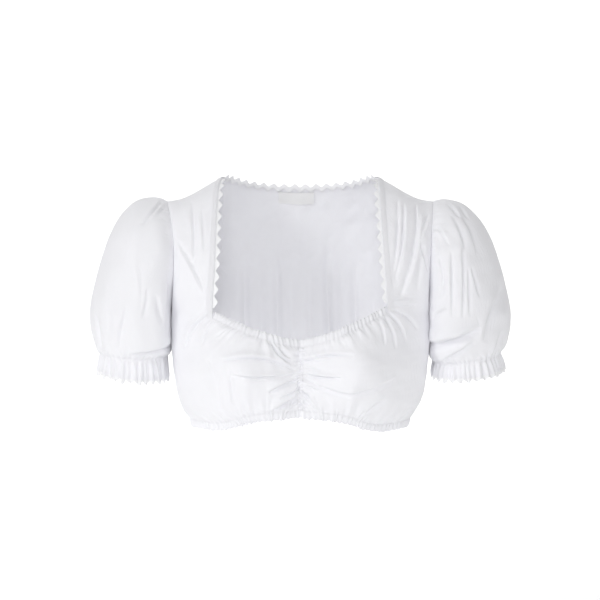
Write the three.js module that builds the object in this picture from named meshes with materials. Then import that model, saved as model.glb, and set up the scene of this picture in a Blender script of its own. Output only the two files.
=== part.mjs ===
// A cropped dirndl blouse of thin white cotton, filled out as if worn: gathered front cups under a
// wide square neckline, an elastic hem, puffed short sleeves, and zigzag braid round the edges.
// Lengths are millimetres and angles degrees. +X is the wearer's left, -Y the front, +Z up.
// The origin is midway between the shoulders, at the height of the neck ends of the shoulder seams.
import * as THREE from "three";

// Cloth and seams
const CLOTH = 1.2;
const BRAID = 1.6;
const SEAM = 0.3;

// Driving points of the left half: the neck and shoulder ends of the shoulder seam, and the underarm
const NECK_POINT = new THREE.Vector3(101, 8, 0);
const SHOULDER_POINT = new THREE.Vector3(172, 6, -31);
const UNDERARM = new THREE.Vector3(165, 0, -168);

// Level sections through the body of the blouse: half its width, and its depth before and behind
const BODY = [
  { z: -330, halfWidth: 137, front: 88, back: 86 },
  { z: -320, halfWidth: 139, front: 90, back: 88 },
  { z: -309, halfWidth: 142, front: 93, back: 90 },
  { z: -298, halfWidth: 150, front: 99, back: 95 },
  { z: -284, halfWidth: 157, front: 103, back: 99 },
  { z: -268, halfWidth: 161, front: 105, back: 102 },
  { z: -245, halfWidth: 164, front: 105, back: 104 },
  { z: -210, halfWidth: 165, front: 100, back: 106 },
  { z: -168, halfWidth: 165, front: 89, back: 107 },
  { z: -130, halfWidth: 165, front: 80, back: 107 },
];
const ROUNDNESS = 0.86;
const CUP = { out: 26, apart: 76, height: -232, wide: 44, below: 42, above: 52 };
const CENTRE_DRAW = { depth: 7, wide: 15 };
const CENTRE_STRIP = 7;

// Height of the hem by the angle round the body, from the centre front to the centre back
const HEM = [
  { angle: 0, z: -301 },
  { angle: 20, z: -306 },
  { angle: 36, z: -315 },
  { angle: 50, z: -320 },
  { angle: 90, z: -320 },
  { angle: 180, z: -320 },
];
const HEM_CASING = 10;

// The front neckline: the dip at the centre, its rise to each corner, and the elastic casing along it
const CORNER_ANGLE = 38;
const NECKLINE = { centre: -202, corner: { left: -160, right: -167 }, curve: 1.3, casing: 9 };
const STRAP_EDGE = [
  { x: 109, y: -79, z: -148 },
  { x: 107, y: -75, z: -118 },
  { x: 105, y: -66, z: -84 },
  { x: 103, y: -50, z: -49 },
  { x: 101.5, y: -25, z: -14 },
];
const CENTRE_BACK = [
  { x: 0, y: 105, z: -128 },
  { x: 0, y: 100, z: -88 },
  { x: 0, y: 91, z: -50 },
];
const BACK_NECKLINE = [
  { x: 0, y: 81, z: -20 },
  { x: 34, y: 77, z: -18.5 },
  { x: 66, y: 63, z: -14 },
  { x: 90, y: 38, z: -6 },
];

// The armhole ring, and the sleeve's rings from there to the elastic: the outer and inner ends of
// each ring, and how far it reaches to the front and back of them
const ARMHOLE_BOW = 4;
const SHOULDER_TURN = 2.4;
const SLEEVE = [
  { outX: 172, outZ: -31, inX: 165, inZ: -168, front: 50, back: 54, shift: 6 },
  { outX: 191, outZ: -24, inX: 166.9, inZ: -175, front: 59, back: 61, shift: 5 },
  { outX: 213, outZ: -26, inX: 167.6, inZ: -183, front: 64, back: 65, shift: 4 },
  { outX: 232, outZ: -45, inX: 168, inZ: -191, front: 67, back: 67, shift: 3 },
  { outX: 246, outZ: -74, inX: 168, inZ: -199, front: 68, back: 68, shift: 2 },
  { outX: 257, outZ: -106, inX: 168, inZ: -207, front: 68, back: 68, shift: 1 },
  { outX: 266, outZ: -139, inX: 168, inZ: -215, front: 67, back: 67, shift: 0 },
  { outX: 272, outZ: -168, inX: 168, inZ: -223, front: 65, back: 65, shift: 0 },
  { outX: 272, outZ: -191, inX: 168.6, inZ: -230, front: 61, back: 61, shift: 0 },
  { outX: 268, outZ: -210, inX: 169.6, inZ: -236, front: 55, back: 55, shift: 0 },
  { outX: 262, outZ: -224, inX: 171.5, inZ: -241, front: 48, back: 48, shift: 0 },
];
const CUFF = [
  { outX: 262, outZ: -224.4, inX: 171.5, inZ: -241.4, front: 47.5, back: 47.5, shift: 0 },
  { outX: 262, outZ: -230, inX: 171.5, inZ: -246, front: 47, back: 47, shift: 0 },
  { outX: 266, outZ: -243, inX: 170, inZ: -258, front: 50, back: 50, shift: 0 },
];
const CUFF_DIP = 4;

// Gathers: how many there are, how far they stand out, and how far they run into the panel
const GATHERS = {
  hemFront: { count: 44, height: 1.5 },
  hemBack: { count: 40, height: 1.5 },
  neckline: { count: 16, height: 1.3 },
  cuff: { count: 32, height: 1.5 },
  centre: { count: 9, height: 1.8 },
};
const SPREAD = {
  hem: { height: 2, run: 24 },
  neckline: { height: 1.6, run: 18 },
  centre: { height: 2.8, run: 28 },
  sleeveHead: { height: 2.6, run: 0.16 },
  sleeveHem: { height: 2.4, run: 0.1 },
};

// The largest folds on the fronts: where each starts and ends, its bow to one side, half its width,
// and its height (a trough is negative)
const FOLDS = {
  left: [
    { fromX: 137, fromZ: -40, toX: 119, toZ: -148, bow: 9, width: 6, height: 3.4 },
    { fromX: 128, fromZ: -38, toX: 117, toZ: -118, bow: 5, width: 5, height: -2.8 },
    { fromX: 152, fromZ: -70, toX: 160, toZ: -130, bow: 0, width: 9, height: -2.6 },
    { fromX: 16, fromZ: -227, toX: 58, toZ: -220, bow: -3, width: 5, height: -3.4 },
    { fromX: 12, fromZ: -243, toX: 54, toZ: -246, bow: 2, width: 5, height: -2.8 },
    { fromX: 20, fromZ: -256, toX: 60, toZ: -276, bow: 4, width: 8, height: -2.6 },
    { fromX: 52, fromZ: -274, toX: 112, toZ: -262, bow: 8, width: 7, height: 2.4 },
    { fromX: 122, fromZ: -176, toX: 148, toZ: -198, bow: -4, width: 5, height: 2.6 },
  ],
  right: [
    { fromX: 141, fromZ: -44, toX: 138, toZ: -98, bow: 0, width: 8, height: -3 },
    { fromX: 158, fromZ: -96, toX: 130, toZ: -140, bow: 4, width: 8, height: -2.2 },
    { fromX: 118, fromZ: -176, toX: 145, toZ: -212, bow: -6, width: 5, height: -3 },
    { fromX: 12, fromZ: -232, toX: 96, toZ: -224, bow: -4, width: 6, height: -3.4 },
    { fromX: 10, fromZ: -240, toX: 78, toZ: -244, bow: 1, width: 5, height: -2.6 },
    { fromX: 8, fromZ: -252, toX: 40, toZ: -268, bow: 2, width: 6, height: -3.4 },
    { fromX: 8, fromZ: -276, toX: 34, toZ: -292, bow: 3, width: 6, height: -3 },
  ],
};
// The soft upright folds down the back, which run out of the gathered hem
const BACK_FOLDS = [
  { x: -104, top: -150, width: 9, height: 2.6 },
  { x: -58, top: -120, width: 8, height: 3.2 },
  { x: -22, top: -90, width: 10, height: -3 },
  { x: 14, top: -110, width: 8, height: 3.4 },
  { x: 38, top: -80, width: 9, height: -3.4 },
  { x: 72, top: -130, width: 9, height: 3 },
  { x: 112, top: -150, width: 9, height: -2.4 },
];
// Folds of each puff, as seen from the front or from behind
const SLEEVE_FOLDS = {
  left: [
    { fromX: 190, fromZ: -38, toX: 206, toZ: -62, bow: 2, width: 6, height: -4, face: "front" },
    { fromX: 176, fromZ: -80, toX: 182, toZ: -138, bow: 0, width: 7, height: -3.4, face: "front" },
    { fromX: 206, fromZ: -92, toX: 204, toZ: -172, bow: 3, width: 7, height: 3.2, face: "front" },
    { fromX: 220, fromZ: -104, toX: 219, toZ: -160, bow: -2, width: 7, height: -2.6, face: "front" },
    { fromX: 234, fromZ: -150, toX: 233, toZ: -200, bow: 0, width: 11, height: 3.4, face: "front" },
    { fromX: 174, fromZ: -216, toX: 222, toZ: -198, bow: -4, width: 10, height: -5, face: "front" },
    { fromX: 196, fromZ: -60, toX: 214, toZ: -140, bow: 6, width: 9, height: -3, face: "back" },
    { fromX: 236, fromZ: -110, toX: 240, toZ: -190, bow: -3, width: 10, height: 3, face: "back" },
    { fromX: 196, fromZ: -168, toX: 206, toZ: -216, bow: 2, width: 8, height: -3.4, face: "back" },
  ],
  right: [
    { fromX: 184, fromZ: -40, toX: 200, toZ: -60, bow: -3, width: 6, height: -4, face: "front" },
    { fromX: 211, fromZ: -126, toX: 198, toZ: -166, bow: 3, width: 8, height: -3.6, face: "front" },
    { fromX: 178, fromZ: -138, toX: 175, toZ: -178, bow: 0, width: 6, height: 2.8, face: "front" },
    { fromX: 206, fromZ: -172, toX: 206, toZ: -210, bow: 0, width: 8, height: 2.8, face: "front" },
    { fromX: 228, fromZ: -182, toX: 230, toZ: -214, bow: 0, width: 7, height: -3.4, face: "front" },
    { fromX: 200, fromZ: -64, toX: 216, toZ: -150, bow: 5, width: 9, height: -3, face: "back" },
    { fromX: 238, fromZ: -120, toX: 242, toZ: -196, bow: -3, width: 10, height: 3, face: "back" },
    { fromX: 190, fromZ: -160, toX: 202, toZ: -218, bow: 2, width: 8, height: -3.4, face: "back" },
  ],
};

// The braid's teeth, the stitched band along the neckline, and the label
const TEETH = { strap: 12, back: 18, cuff: 28, low: 2.2, high: 7 };
const BRAID_START = 0.06;
const BRAID_INSET = 0.014;
const BAND = { columns: 2, backShare: 0.064, cloth: 1 };
const LABEL = { width: 47, height: 17, aside: 5, cloth: 1, clear: 0.4 };

// How finely the pieces are divided
const FRONT_GRID = { cup: 13, side: 17, body: 11, strap: 8 };
const BACK_GRID = { neck: 9, shoulder: 13, body: 6, yoke: 6 };
const NECK_SHARE = 0.42;
const SLEEVE_GRID = { round: 36, down: 11 };

const WHITE = { color: 0xf4f4f6, roughness: 0.85, metalness: 0, side: THREE.DoubleSide };

const radians = THREE.MathUtils.degToRad;
const mix = THREE.MathUtils.lerp;
const clamp = THREE.MathUtils.clamp;
const bell = (offset, width) => Math.exp(-((offset / width) ** 2));
const uneven = (n) => 0.75 + 0.5 * Math.abs((Math.sin(n * 12.9898) * 43758.5453) % 1);
const alternate = (n) => (n % 2 ? 1 : -1) * uneven(n);

// The value in a table's column at a place along its rows, by smooth cubic pieces between them.
// The rows are placed by the named key, or by their number
function along(table, column, at, key) {
  const last = table.length - 1;
  const place = (n) => (key ? table[n][key] : n);
  let n = 0;
  while (n < last - 1 && at > place(n + 1)) n += 1;
  const slope = (k) => {
    const before = Math.max(k - 1, 0);
    const after = Math.min(k + 1, last);
    return (table[after][column] - table[before][column]) / (place(after) - place(before));
  };
  const span = place(n + 1) - place(n);
  const t = clamp((at - place(n)) / span, 0, 1);
  const rest = 1 - t;
  return (
    table[n][column] * rest * rest * (1 + 2 * t) +
    table[n + 1][column] * t * t * (3 - 2 * t) +
    span * t * rest * (slope(n) * rest - slope(n + 1) * t)
  );
}

const rounded = (value) => Math.sign(value) * Math.abs(value) ** ROUNDNESS;

// A point of the body at an angle round it (0 front, 90 the wearer's left, 180 back) and a height
function bodyPoint(angle, z) {
  const side = Math.sin(radians(angle));
  const ahead = Math.cos(radians(angle));
  const x = along(BODY, "halfWidth", z, "z") * rounded(side);
  let y = -along(BODY, ahead > 0 ? "front" : "back", z, "z") * rounded(ahead);
  if (ahead > 0) {
    const tall = z > CUP.height ? CUP.above : CUP.below;
    const cup = CUP.out * bell(Math.abs(x) - CUP.apart, CUP.wide) * bell(z - CUP.height, tall);
    y -= cup * rounded(ahead) - CENTRE_DRAW.depth * bell(x, CENTRE_DRAW.wide);
  }
  return new THREE.Vector3(x, y, z);
}

const hemHeight = (angle) => along(HEM, "z", Math.abs(angle), "angle");
const panelFoot = (angle) => hemHeight(angle) + HEM_CASING + SEAM;

// The height of the front neckline's edge out to its corner
function necklineHeight(side, angle) {
  const out = rounded(Math.sin(radians(angle))) / rounded(Math.sin(radians(CORNER_ANGLE)));
  return mix(NECKLINE.centre, NECKLINE.corner[side], out ** NECKLINE.curve);
}

// The line where the cups end under the casing, and the side of the front ends at the underarm
function frontLevel(side, angle) {
  if (angle <= CORNER_ANGLE) return necklineHeight(side, angle) - NECKLINE.casing - SEAM;
  const out = THREE.MathUtils.smoothstep(angle, CORNER_ANGLE, 90);
  return mix(necklineHeight(side, CORNER_ANGLE) - NECKLINE.casing - SEAM, UNDERARM.z, out);
}

// A point of a ring of the sleeve: angle 0 is its outer end, 90 its front, 180 its inner end
function ringPoint(table, down, angle) {
  const at = (column) => along(table, column, down * (table.length - 1));
  const out = new THREE.Vector3(at("outX"), at("shift"), at("outZ"));
  const inner = new THREE.Vector3(at("inX"), 0, at("inZ"));
  const turn = radians(angle);
  const reach = Math.sin(turn) > 0 ? at("front") : at("back");
  const point = inner.lerp(out, (1 + Math.cos(turn)) / 2);
  point.y -= reach * Math.sin(turn);
  return point;
}

function armholePoint(angle) {
  const point = ringPoint(SLEEVE, 0, angle);
  point.x -= ARMHOLE_BOW * Math.sin(radians(angle)) ** 2;
  return point;
}

const curveThrough = (points) =>
  new THREE.CatmullRomCurve3(
    points.map((p) => new THREE.Vector3(p.x, p.y, p.z)),
    false,
    "catmullrom",
    0.5,
  );

// A patch filled in between its four edges, each a function of 0 to 1. Its depth turns in late on
// the way up, as a chest or a back does towards the shoulder
function patchPoint({ foot, head, start, end }, s, w) {
  const rise = (from, to) => {
    const point = from.clone().lerp(to, w);
    point.y = mix(from.y, to.y, w ** SHOULDER_TURN);
    return point;
  };
  const level = (from, to) => from.clone().lerp(to, s);
  const flat = rise(level(foot(0), foot(1)), level(head(0), head(1)));
  return rise(foot(s), head(s)).add(level(start(w), end(w))).sub(flat);
}

function mirrored(point, side) {
  if (side === "right") point.x = -point.x;
  return point;
}

// A sheet of cloth on a grid of columns and rows: its points once folded, and its outward normals
function layOut(spec) {
  const count = spec.closed ? spec.columns : spec.columns + 1;
  const grid = (make) =>
    Array.from({ length: spec.rows + 1 }, (_, j) => Array.from({ length: count }, (__, i) => make(i, j)));
  const keep = spec.keep ?? (() => true);
  const sheet = { ...spec, count, keep };
  const base = grid(spec.base);
  const plain = normalsOf(base, sheet);
  const relief = spec.relief ?? (() => 0);
  sheet.points = grid((i, j) => base[j][i].clone().addScaledVector(plain[j][i], relief(i, j, base[j][i])));
  sheet.normals = normalsOf(sheet.points, sheet);
  return sheet;
}

function normalsOf(points, { columns, rows, count, keep, turned, seam }) {
  const normals = points.map((row) => row.map(() => new THREE.Vector3()));
  for (let j = 0; j < rows; j += 1)
    for (let i = 0; i < columns; i += 1) {
      if (!keep(i, j)) continue;
      const next = (i + 1) % count;
      const a = points[j + 1][next].clone().sub(points[j][i]);
      const b = points[j + 1][i].clone().sub(points[j][next]);
      const face = a.cross(b).multiplyScalar(turned ? -1 : 1);
      for (const [u, v] of [[i, j], [next, j], [next, j + 1], [i, j + 1]]) normals[v][u].add(face);
    }
  normals.forEach((row, j) =>
    row.forEach((normal, i) => {
      const axis = seam ? seam(i, j) : null;
      if (axis) normal[axis] = 0;
      normal.normalize();
    }),
  );
  return normals;
}

// A closed wall of cloth: the sheet, its copy set back by the thickness, and strips along the edges
function wallOf(sheet, thickness = CLOTH) {
  const { columns, rows, count, keep, turned } = sheet;
  const positions = [];
  const at = (i, j, inner) => {
    const n = i % count;
    return sheet.points[j][n].clone().addScaledVector(sheet.normals[j][n], inner ? -thickness : 0);
  };
  const quad = (...corners) => {
    const [a, b, c, d] = turned ? corners.reverse() : corners;
    for (const p of [a, b, c, a, c, d]) positions.push(p.x, p.y, p.z);
  };
  const held = (i, j) => {
    if (j < 0 || j >= rows) return false;
    if (!sheet.closed && (i < 0 || i >= columns)) return false;
    return keep((i + columns) % columns, j);
  };
  for (let j = 0; j < rows; j += 1)
    for (let i = 0; i < columns; i += 1) {
      if (!keep(i, j)) continue;
      quad(at(i, j), at(i + 1, j), at(i + 1, j + 1), at(i, j + 1));
      quad(at(i, j, true), at(i, j + 1, true), at(i + 1, j + 1, true), at(i + 1, j, true));
      const edges = [
        [held(i, j - 1), [i + 1, j], [i, j]],
        [held(i + 1, j), [i + 1, j + 1], [i + 1, j]],
        [held(i, j + 1), [i, j + 1], [i + 1, j + 1]],
        [held(i - 1, j), [i, j], [i, j + 1]],
      ];
      for (const [inside, from, to] of edges)
        if (!inside) quad(at(...from), at(...to), at(...to, true), at(...from, true));
    }
  return new THREE.BufferGeometry().setAttribute(
    "position",
    new THREE.Float32BufferAttribute(positions, 3),
  );
}

const blouse = new THREE.Group();

function addPiece(name, geometry) {
  geometry.computeVertexNormals();
  const piece = new THREE.Mesh(geometry, new THREE.MeshStandardMaterial(WHITE));
  piece.name = name;
  blouse.add(piece);
}

// How far a point stands out in a fold that runs between two places with a bow to one side
function foldHeight(fold, x, z) {
  const run = new THREE.Vector2(fold.toX - fold.fromX, fold.toZ - fold.fromZ);
  const from = new THREE.Vector2(x - fold.fromX, z - fold.fromZ);
  const share = from.dot(run) / run.lengthSq();
  if (share < -0.3 || share > 1.3) return 0;
  const aside = from.cross(run) / run.length() - fold.bow * Math.sin(Math.PI * clamp(share, 0, 1));
  const fade = bell(Math.max(0, Math.abs(share - 0.5) - 0.25), 0.3);
  return fold.height * bell(aside, fold.width) * fade;
}

// The fronts run from the centre to the side seam, and up over the chest to the shoulder seam
function frontSheet(side) {
  const { cup, side: out, body, strap } = FRONT_GRID;
  const columns = cup + out;
  const angleOf = (i) => (i <= cup ? (CORNER_ANGLE * i) / cup : mix(CORNER_ANGLE, 90, (i - cup) / out));
  const foot = (s) => {
    const angle = mix(CORNER_ANGLE, 90, s);
    return bodyPoint(angle, frontLevel(side, angle));
  };
  const strapEdge = curveThrough([foot(0), ...STRAP_EDGE, NECK_POINT]);
  const edges = {
    foot,
    head: (s) => NECK_POINT.clone().lerp(SHOULDER_POINT, s),
    start: (w) => strapEdge.getPoint(w),
    end: (w) => armholePoint(180 * (1 - w)),
  };
  const centre = SEAM / 2 + CENTRE_STRIP / 2 + SEAM / 2;
  return layOut({
    columns,
    rows: body + strap,
    turned: side === "right",
    keep: (i, j) => j < body || i >= cup,
    seam: (i, j) => {
      if (j === body + strap || (i === columns && j <= body)) return "y";
      if (i === 0) return "x";
      return j === 0 || (j === body && i < cup) ? "z" : null;
    },
    base: (i, j) => {
      const angle = angleOf(i);
      const lift = Math.min(j / body, 1);
      const strapShare = clamp((i - cup) / out, 0, 1);
      const point =
        j <= body
          ? bodyPoint(angle, mix(panelFoot(angle), frontLevel(side, angle), lift))
          : patchPoint(edges, strapShare, (j - body) / strap);
      if (j <= body) point.x += centre * (1 - i / columns);
      if (i === columns || j === body + strap) point.y -= SEAM / 2;
      return mirrored(point, side);
    },
    relief: (i, j, point) => {
      const x = Math.abs(point.x);
      const angle = angleOf(i);
      const inside = i === 0 || i === columns || j === body + strap ? 0 : 1;
      const aboveHem = point.z - panelFoot(angle);
      const calm = i > columns - 3 ? 0.4 : 1;
      let height = SPREAD.hem.height * alternate(i) * bell(aboveHem, SPREAD.hem.run) * calm;
      if (i <= cup) {
        const below = frontLevel(side, angle) - point.z;
        height += SPREAD.neckline.height * alternate(i) * bell(below, SPREAD.neckline.run);
        height += SPREAD.centre.height * alternate(j) * bell(x, SPREAD.centre.run);
      }
      for (const fold of FOLDS[side]) height += foldHeight(fold, x, point.z);
      return height * inside;
    },
  });
}

// The ruched strip down the centre front
function centreSheet() {
  const rows = GATHERS.centre.count * 2;
  const columns = 4;
  const bottom = panelFoot(0);
  const top = NECKLINE.centre - NECKLINE.casing - SEAM;
  return layOut({
    columns,
    rows,
    base: (i, j) => {
      const point = bodyPoint(0, mix(bottom, top, j / rows));
      point.x = mix(-CENTRE_STRIP / 2, CENTRE_STRIP / 2, i / columns);
      return point;
    },
    seam: (i, j) => {
      if (i === 0 || i === columns) return "x";
      return j === 0 || j === rows ? "z" : null;
    },
    relief: (i, j) => GATHERS.centre.height * alternate(j) * Math.sin((Math.PI * i) / columns),
  });
}

// The elastic casing along each side of the front neckline
function neckCasingSheet(side) {
  const columns = GATHERS.neckline.count * 2;
  const rows = 2;
  return layOut({
    columns,
    rows,
    turned: side === "right",
    base: (i, j) => {
      const angle = (CORNER_ANGLE * i) / columns;
      const point = bodyPoint(angle, necklineHeight(side, angle) - NECKLINE.casing * (1 - j / rows));
      point.x += (SEAM / 2) * (1 - (3 * i) / columns);
      return mirrored(point, side);
    },
    seam: (i, j) => {
      if (i === 0) return "x";
      return j === 0 ? "z" : null;
    },
    relief: (i, j) => {
      if (i === 0 || i === columns) return 0;
      return GATHERS.neckline.height * alternate(i) + (j === 1 ? 1.2 : 0);
    },
  });
}

// The back runs from one side seam round to the other, and up to the neckline and shoulder seams
function backSheet() {
  const { neck, shoulder, body, yoke } = BACK_GRID;
  const half = neck + shoulder;
  const columns = half * 2;
  const rows = body + yoke;
  const neckline = curveThrough([...BACK_NECKLINE, NECK_POINT]);
  const centreBack = curveThrough([bodyPoint(180, UNDERARM.z), ...CENTRE_BACK, BACK_NECKLINE[0]]);
  const edges = {
    foot: (s) => bodyPoint(180 - 90 * s, UNDERARM.z),
    head: (s) =>
      s < NECK_SHARE
        ? neckline.getPoint(s / NECK_SHARE)
        : NECK_POINT.clone().lerp(SHOULDER_POINT, (s - NECK_SHARE) / (1 - NECK_SHARE)),
    start: (w) => centreBack.getPoint(w),
    end: (w) => armholePoint(180 * (1 + w)),
  };
  const yokeShare = (row) => (row < yoke ? (row / (yoke - 1)) * (1 - BAND.backShare) : 1);
  const shareOf = (i) => {
    const out = Math.abs(half - i);
    return out <= neck ? (NECK_SHARE * out) / neck : mix(NECK_SHARE, 1, (out - neck) / shoulder);
  };
  return layOut({
    columns,
    rows,
    seam: (i, j) => {
      if ((i === 0 || i === columns) && j <= body) return "y";
      if (j === 0) return "z";
      return j === rows && shareOf(i) >= NECK_SHARE ? "y" : null;
    },
    base: (i, j) => {
      const share = shareOf(i);
      const angle = 180 - 90 * share;
      const point =
        j <= body
          ? bodyPoint(angle, mix(panelFoot(angle), UNDERARM.z, j / body))
          : patchPoint(edges, share, yokeShare(j - body));
      if (i === 0 || i === columns || (j === rows && share >= NECK_SHARE)) point.y += SEAM / 2;
      return mirrored(point, i > half ? "right" : "left");
    },
    relief: (i, j, point) => {
      if (i === 0 || i === columns || j === rows) return 0;
      const angle = 180 - 90 * shareOf(i);
      const calm = shareOf(i) > 0.88 ? 0.4 : 1;
      const aboveHem = point.z - panelFoot(angle);
      let height = SPREAD.hem.height * alternate(i) * bell(aboveHem, SPREAD.hem.run) * calm;
      for (const fold of BACK_FOLDS) {
        const reach = clamp((fold.top - point.z) / 60, 0, 1);
        height += fold.height * bell(point.x - fold.x, fold.width) * reach * calm;
      }
      return height;
    },
  });
}

// The elastic casing at the hem: a gathered band from one angle round the body to another
function hemCasingSheet(fromAngle, toAngle, gathers) {
  const columns = gathers.count * 2;
  const rows = 1;
  return layOut({
    columns,
    rows,
    base: (i, j) => {
      const angle = mix(fromAngle, toAngle, i / columns);
      const round = angle > 180 ? 360 - angle : angle;
      const point = bodyPoint(angle, hemHeight(round) + HEM_CASING * (j / rows));
      if (i === 0 || i === columns) point.y += (fromAngle < 0 ? -SEAM : SEAM) / 2;
      return point;
    },
    seam: (i) => (i === 0 || i === columns ? "y" : "z"),
    relief: (i) => (i === 0 || i === columns ? 0 : gathers.height * alternate(i)),
  });
}

// A puffed sleeve from the armhole down to its elastic
function sleeveSheet(side) {
  const { round, down } = SLEEVE_GRID;
  return layOut({
    columns: round,
    rows: down,
    closed: true,
    turned: side === "right",
    base: (i, j) => {
      const angle = (360 * i) / round;
      const point = ringPoint(SLEEVE, j / down, angle);
      point.x += SEAM - ARMHOLE_BOW * Math.sin(radians(angle)) ** 2 * (1 - j / down) ** 4;
      point.z -= CUFF_DIP * Math.max(0, Math.sin(radians(angle))) * (j / down) ** 3;
      return mirrored(point, side);
    },
    seam: (i, j) => {
      if (j === 0) return "x";
      return j === down ? "z" : null;
    },
    relief: (i, j, point) => {
      if (j === 0) return 0;
      const angle = (360 * i) / round;
      const share = j / down;
      const underarm = 1 - 0.85 * bell(angle - 180, 42);
      const topmost = Math.max(0, Math.cos(radians(angle)));
      let height = SPREAD.sleeveHead.height * alternate(i) * bell(share, SPREAD.sleeveHead.run) * topmost;
      height += SPREAD.sleeveHem.height * alternate(i) * bell(1 - share, SPREAD.sleeveHem.run);
      const facing = Math.sin(radians(angle));
      for (const fold of SLEEVE_FOLDS[side]) {
        const seen = clamp(fold.face === "front" ? facing * 2 : -facing * 2, 0, 1);
        height += foldHeight(fold, Math.abs(point.x), point.z) * seen;
      }
      return height * underarm;
    },
  });
}

// The gathered band below the sleeve's elastic
function cuffPoint(angle, down) {
  const point = ringPoint(CUFF, down, angle);
  point.x += SEAM;
  point.z -= CUFF_DIP * Math.max(0, Math.sin(radians(angle)));
  return point;
}

function cuffSheet(side) {
  const columns = GATHERS.cuff.count * 2;
  const rows = CUFF.length - 1;
  return layOut({
    columns,
    rows,
    closed: true,
    turned: side === "right",
    base: (i, j) => mirrored(cuffPoint((360 * i) / columns, j / rows), side),
    seam: (i, j) => (j === 0 || j === rows ? "z" : null),
    relief: (i) => {
      const inner = 1 - 0.5 * bell((360 * i) / columns - 180, 40);
      return GATHERS.cuff.height * alternate(i) * inner;
    },
  });
}

// The zigzag braid that hangs from the foot of the gathered band
function cuffBraidSheet(side) {
  const columns = TEETH.cuff * 2;
  return layOut({
    columns,
    rows: 1,
    closed: true,
    turned: side === "right",
    base: (i, j) => {
      const angle = (360 * i) / columns;
      const foot = cuffPoint(angle, 1);
      const down = foot.clone().sub(cuffPoint(angle, 0.7)).normalize();
      const reach = j === 0 ? SEAM : i % 2 ? TEETH.high : TEETH.low;
      return mirrored(foot.addScaledVector(down, reach), side);
    },
    seam: (i, j) => (j === 0 ? "z" : null),
  });
}

// Places along an edge of a sheet: points, their normals, and the direction that leaves the cloth
function placesAlong(edge, turned) {
  const reached = [0];
  for (let n = 1; n < edge.length; n += 1)
    reached.push(reached[n - 1] + edge[n].point.distanceTo(edge[n - 1].point));
  const last = edge.length - 1;
  return (share) => {
    const at = share * reached[last];
    let n = 0;
    while (n < last - 1 && at > reached[n + 1]) n += 1;
    const local = clamp((at - reached[n]) / (reached[n + 1] - reached[n]), 0, 1);
    const point = edge[n].point.clone().lerp(edge[n + 1].point, local);
    const normal = edge[n].normal.clone().lerp(edge[n + 1].normal, local).normalize();
    const ahead = edge[n + 1].point.clone().sub(edge[n].point);
    return { point, normal, out: ahead.cross(normal).normalize().multiplyScalar(turned ? 1 : -1) };
  };
}

// Zigzag braid along such an edge, from one share of its length to another
function braidSheet(edge, teeth, turned, from, to) {
  const place = placesAlong(edge, turned);
  const columns = teeth * 2;
  return layOut({
    columns,
    rows: 1,
    turned,
    base: (i, j) => {
      const { point, normal, out } = place(mix(from, to, i / columns));
      const reach = j === 0 ? SEAM : i % 2 ? TEETH.high : TEETH.low;
      return point.addScaledVector(out, reach).addScaledVector(normal, (BRAID - CLOTH) / 2);
    },
  });
}

// A point part of the way between the grid points of a sheet, moved out along the normal
function onSheet(sheet, u, v, outBy) {
  const i = Math.min(Math.floor(u), sheet.columns - 1);
  const j = Math.min(Math.floor(v), sheet.rows - 1);
  const blend = (grid) => {
    const low = grid[j][i].clone().lerp(grid[j][i + 1], u - i);
    return low.lerp(grid[j + 1][i].clone().lerp(grid[j + 1][i + 1], u - i), v - j);
  };
  return blend(sheet.points).addScaledVector(blend(sheet.normals).normalize(), outBy);
}

// A flat band stitched on over part of a panel, a seam's width clear of its outer face
function bandSheet(panel, fromColumn, fromRow, columns, rows) {
  const over = (grid) =>
    grid
      .slice(fromRow, fromRow + rows + 1)
      .map((row) => row.slice(fromColumn, fromColumn + columns + 1));
  const normals = over(panel.normals);
  const points = over(panel.points).map((row, j) =>
    row.map((point, i) => point.clone().addScaledVector(normals[j][i], SEAM + BAND.cloth)),
  );
  return { points, normals, columns, rows, count: columns + 1, keep: () => true, turned: panel.turned };
}

// The plain label inside the back, hung from the lower edge of the band
function labelSheet(back) {
  const centre = BACK_GRID.neck + BACK_GRID.shoulder;
  const top = back.rows - 1;
  const columnWidth = back.points[top][centre].distanceTo(back.points[top][centre + 1]);
  const rowHeight = back.points[top][centre].distanceTo(back.points[top - 1][centre]);
  const columns = 6;
  return layOut({
    columns,
    rows: 1,
    base: (i, j) => {
      const across = LABEL.aside + LABEL.width * (i / columns - 0.5);
      const down = LABEL.height * (1 - j);
      return onSheet(back, centre + across / columnWidth, top - down / rowHeight, -CLOTH - LABEL.clear);
    },
  });
}

for (const side of ["left", "right"]) {
  const turned = side === "right";
  const { cup, body, strap } = FRONT_GRID;
  const front = frontSheet(side);
  const strapEdge = front.points
    .map((row, j) => ({ point: row[cup], normal: front.normals[j][cup] }))
    .slice(body);
  const strapBraid = braidSheet(strapEdge, TEETH.strap, turned, BRAID_START, 1 - BRAID_INSET);
  addPiece(`front_${side}`, wallOf(front));
  addPiece(`neck_casing_${side}`, wallOf(neckCasingSheet(side)));
  addPiece(`neck_band_${side}`, wallOf(bandSheet(front, cup, body, BAND.columns, strap), BAND.cloth));
  addPiece(`neck_braid_${side}`, wallOf(strapBraid, BRAID));
  addPiece(`sleeve_${side}`, wallOf(sleeveSheet(side)));
  addPiece(`cuff_${side}`, wallOf(cuffSheet(side)));
  addPiece(`cuff_braid_${side}`, wallOf(cuffBraidSheet(side), BRAID));
}
addPiece("centre_gather", wallOf(centreSheet()));
addPiece("hem_casing_front", wallOf(hemCasingSheet(-90, 90, GATHERS.hemFront)));
addPiece("hem_casing_back", wallOf(hemCasingSheet(90, 270, GATHERS.hemBack)));

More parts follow.
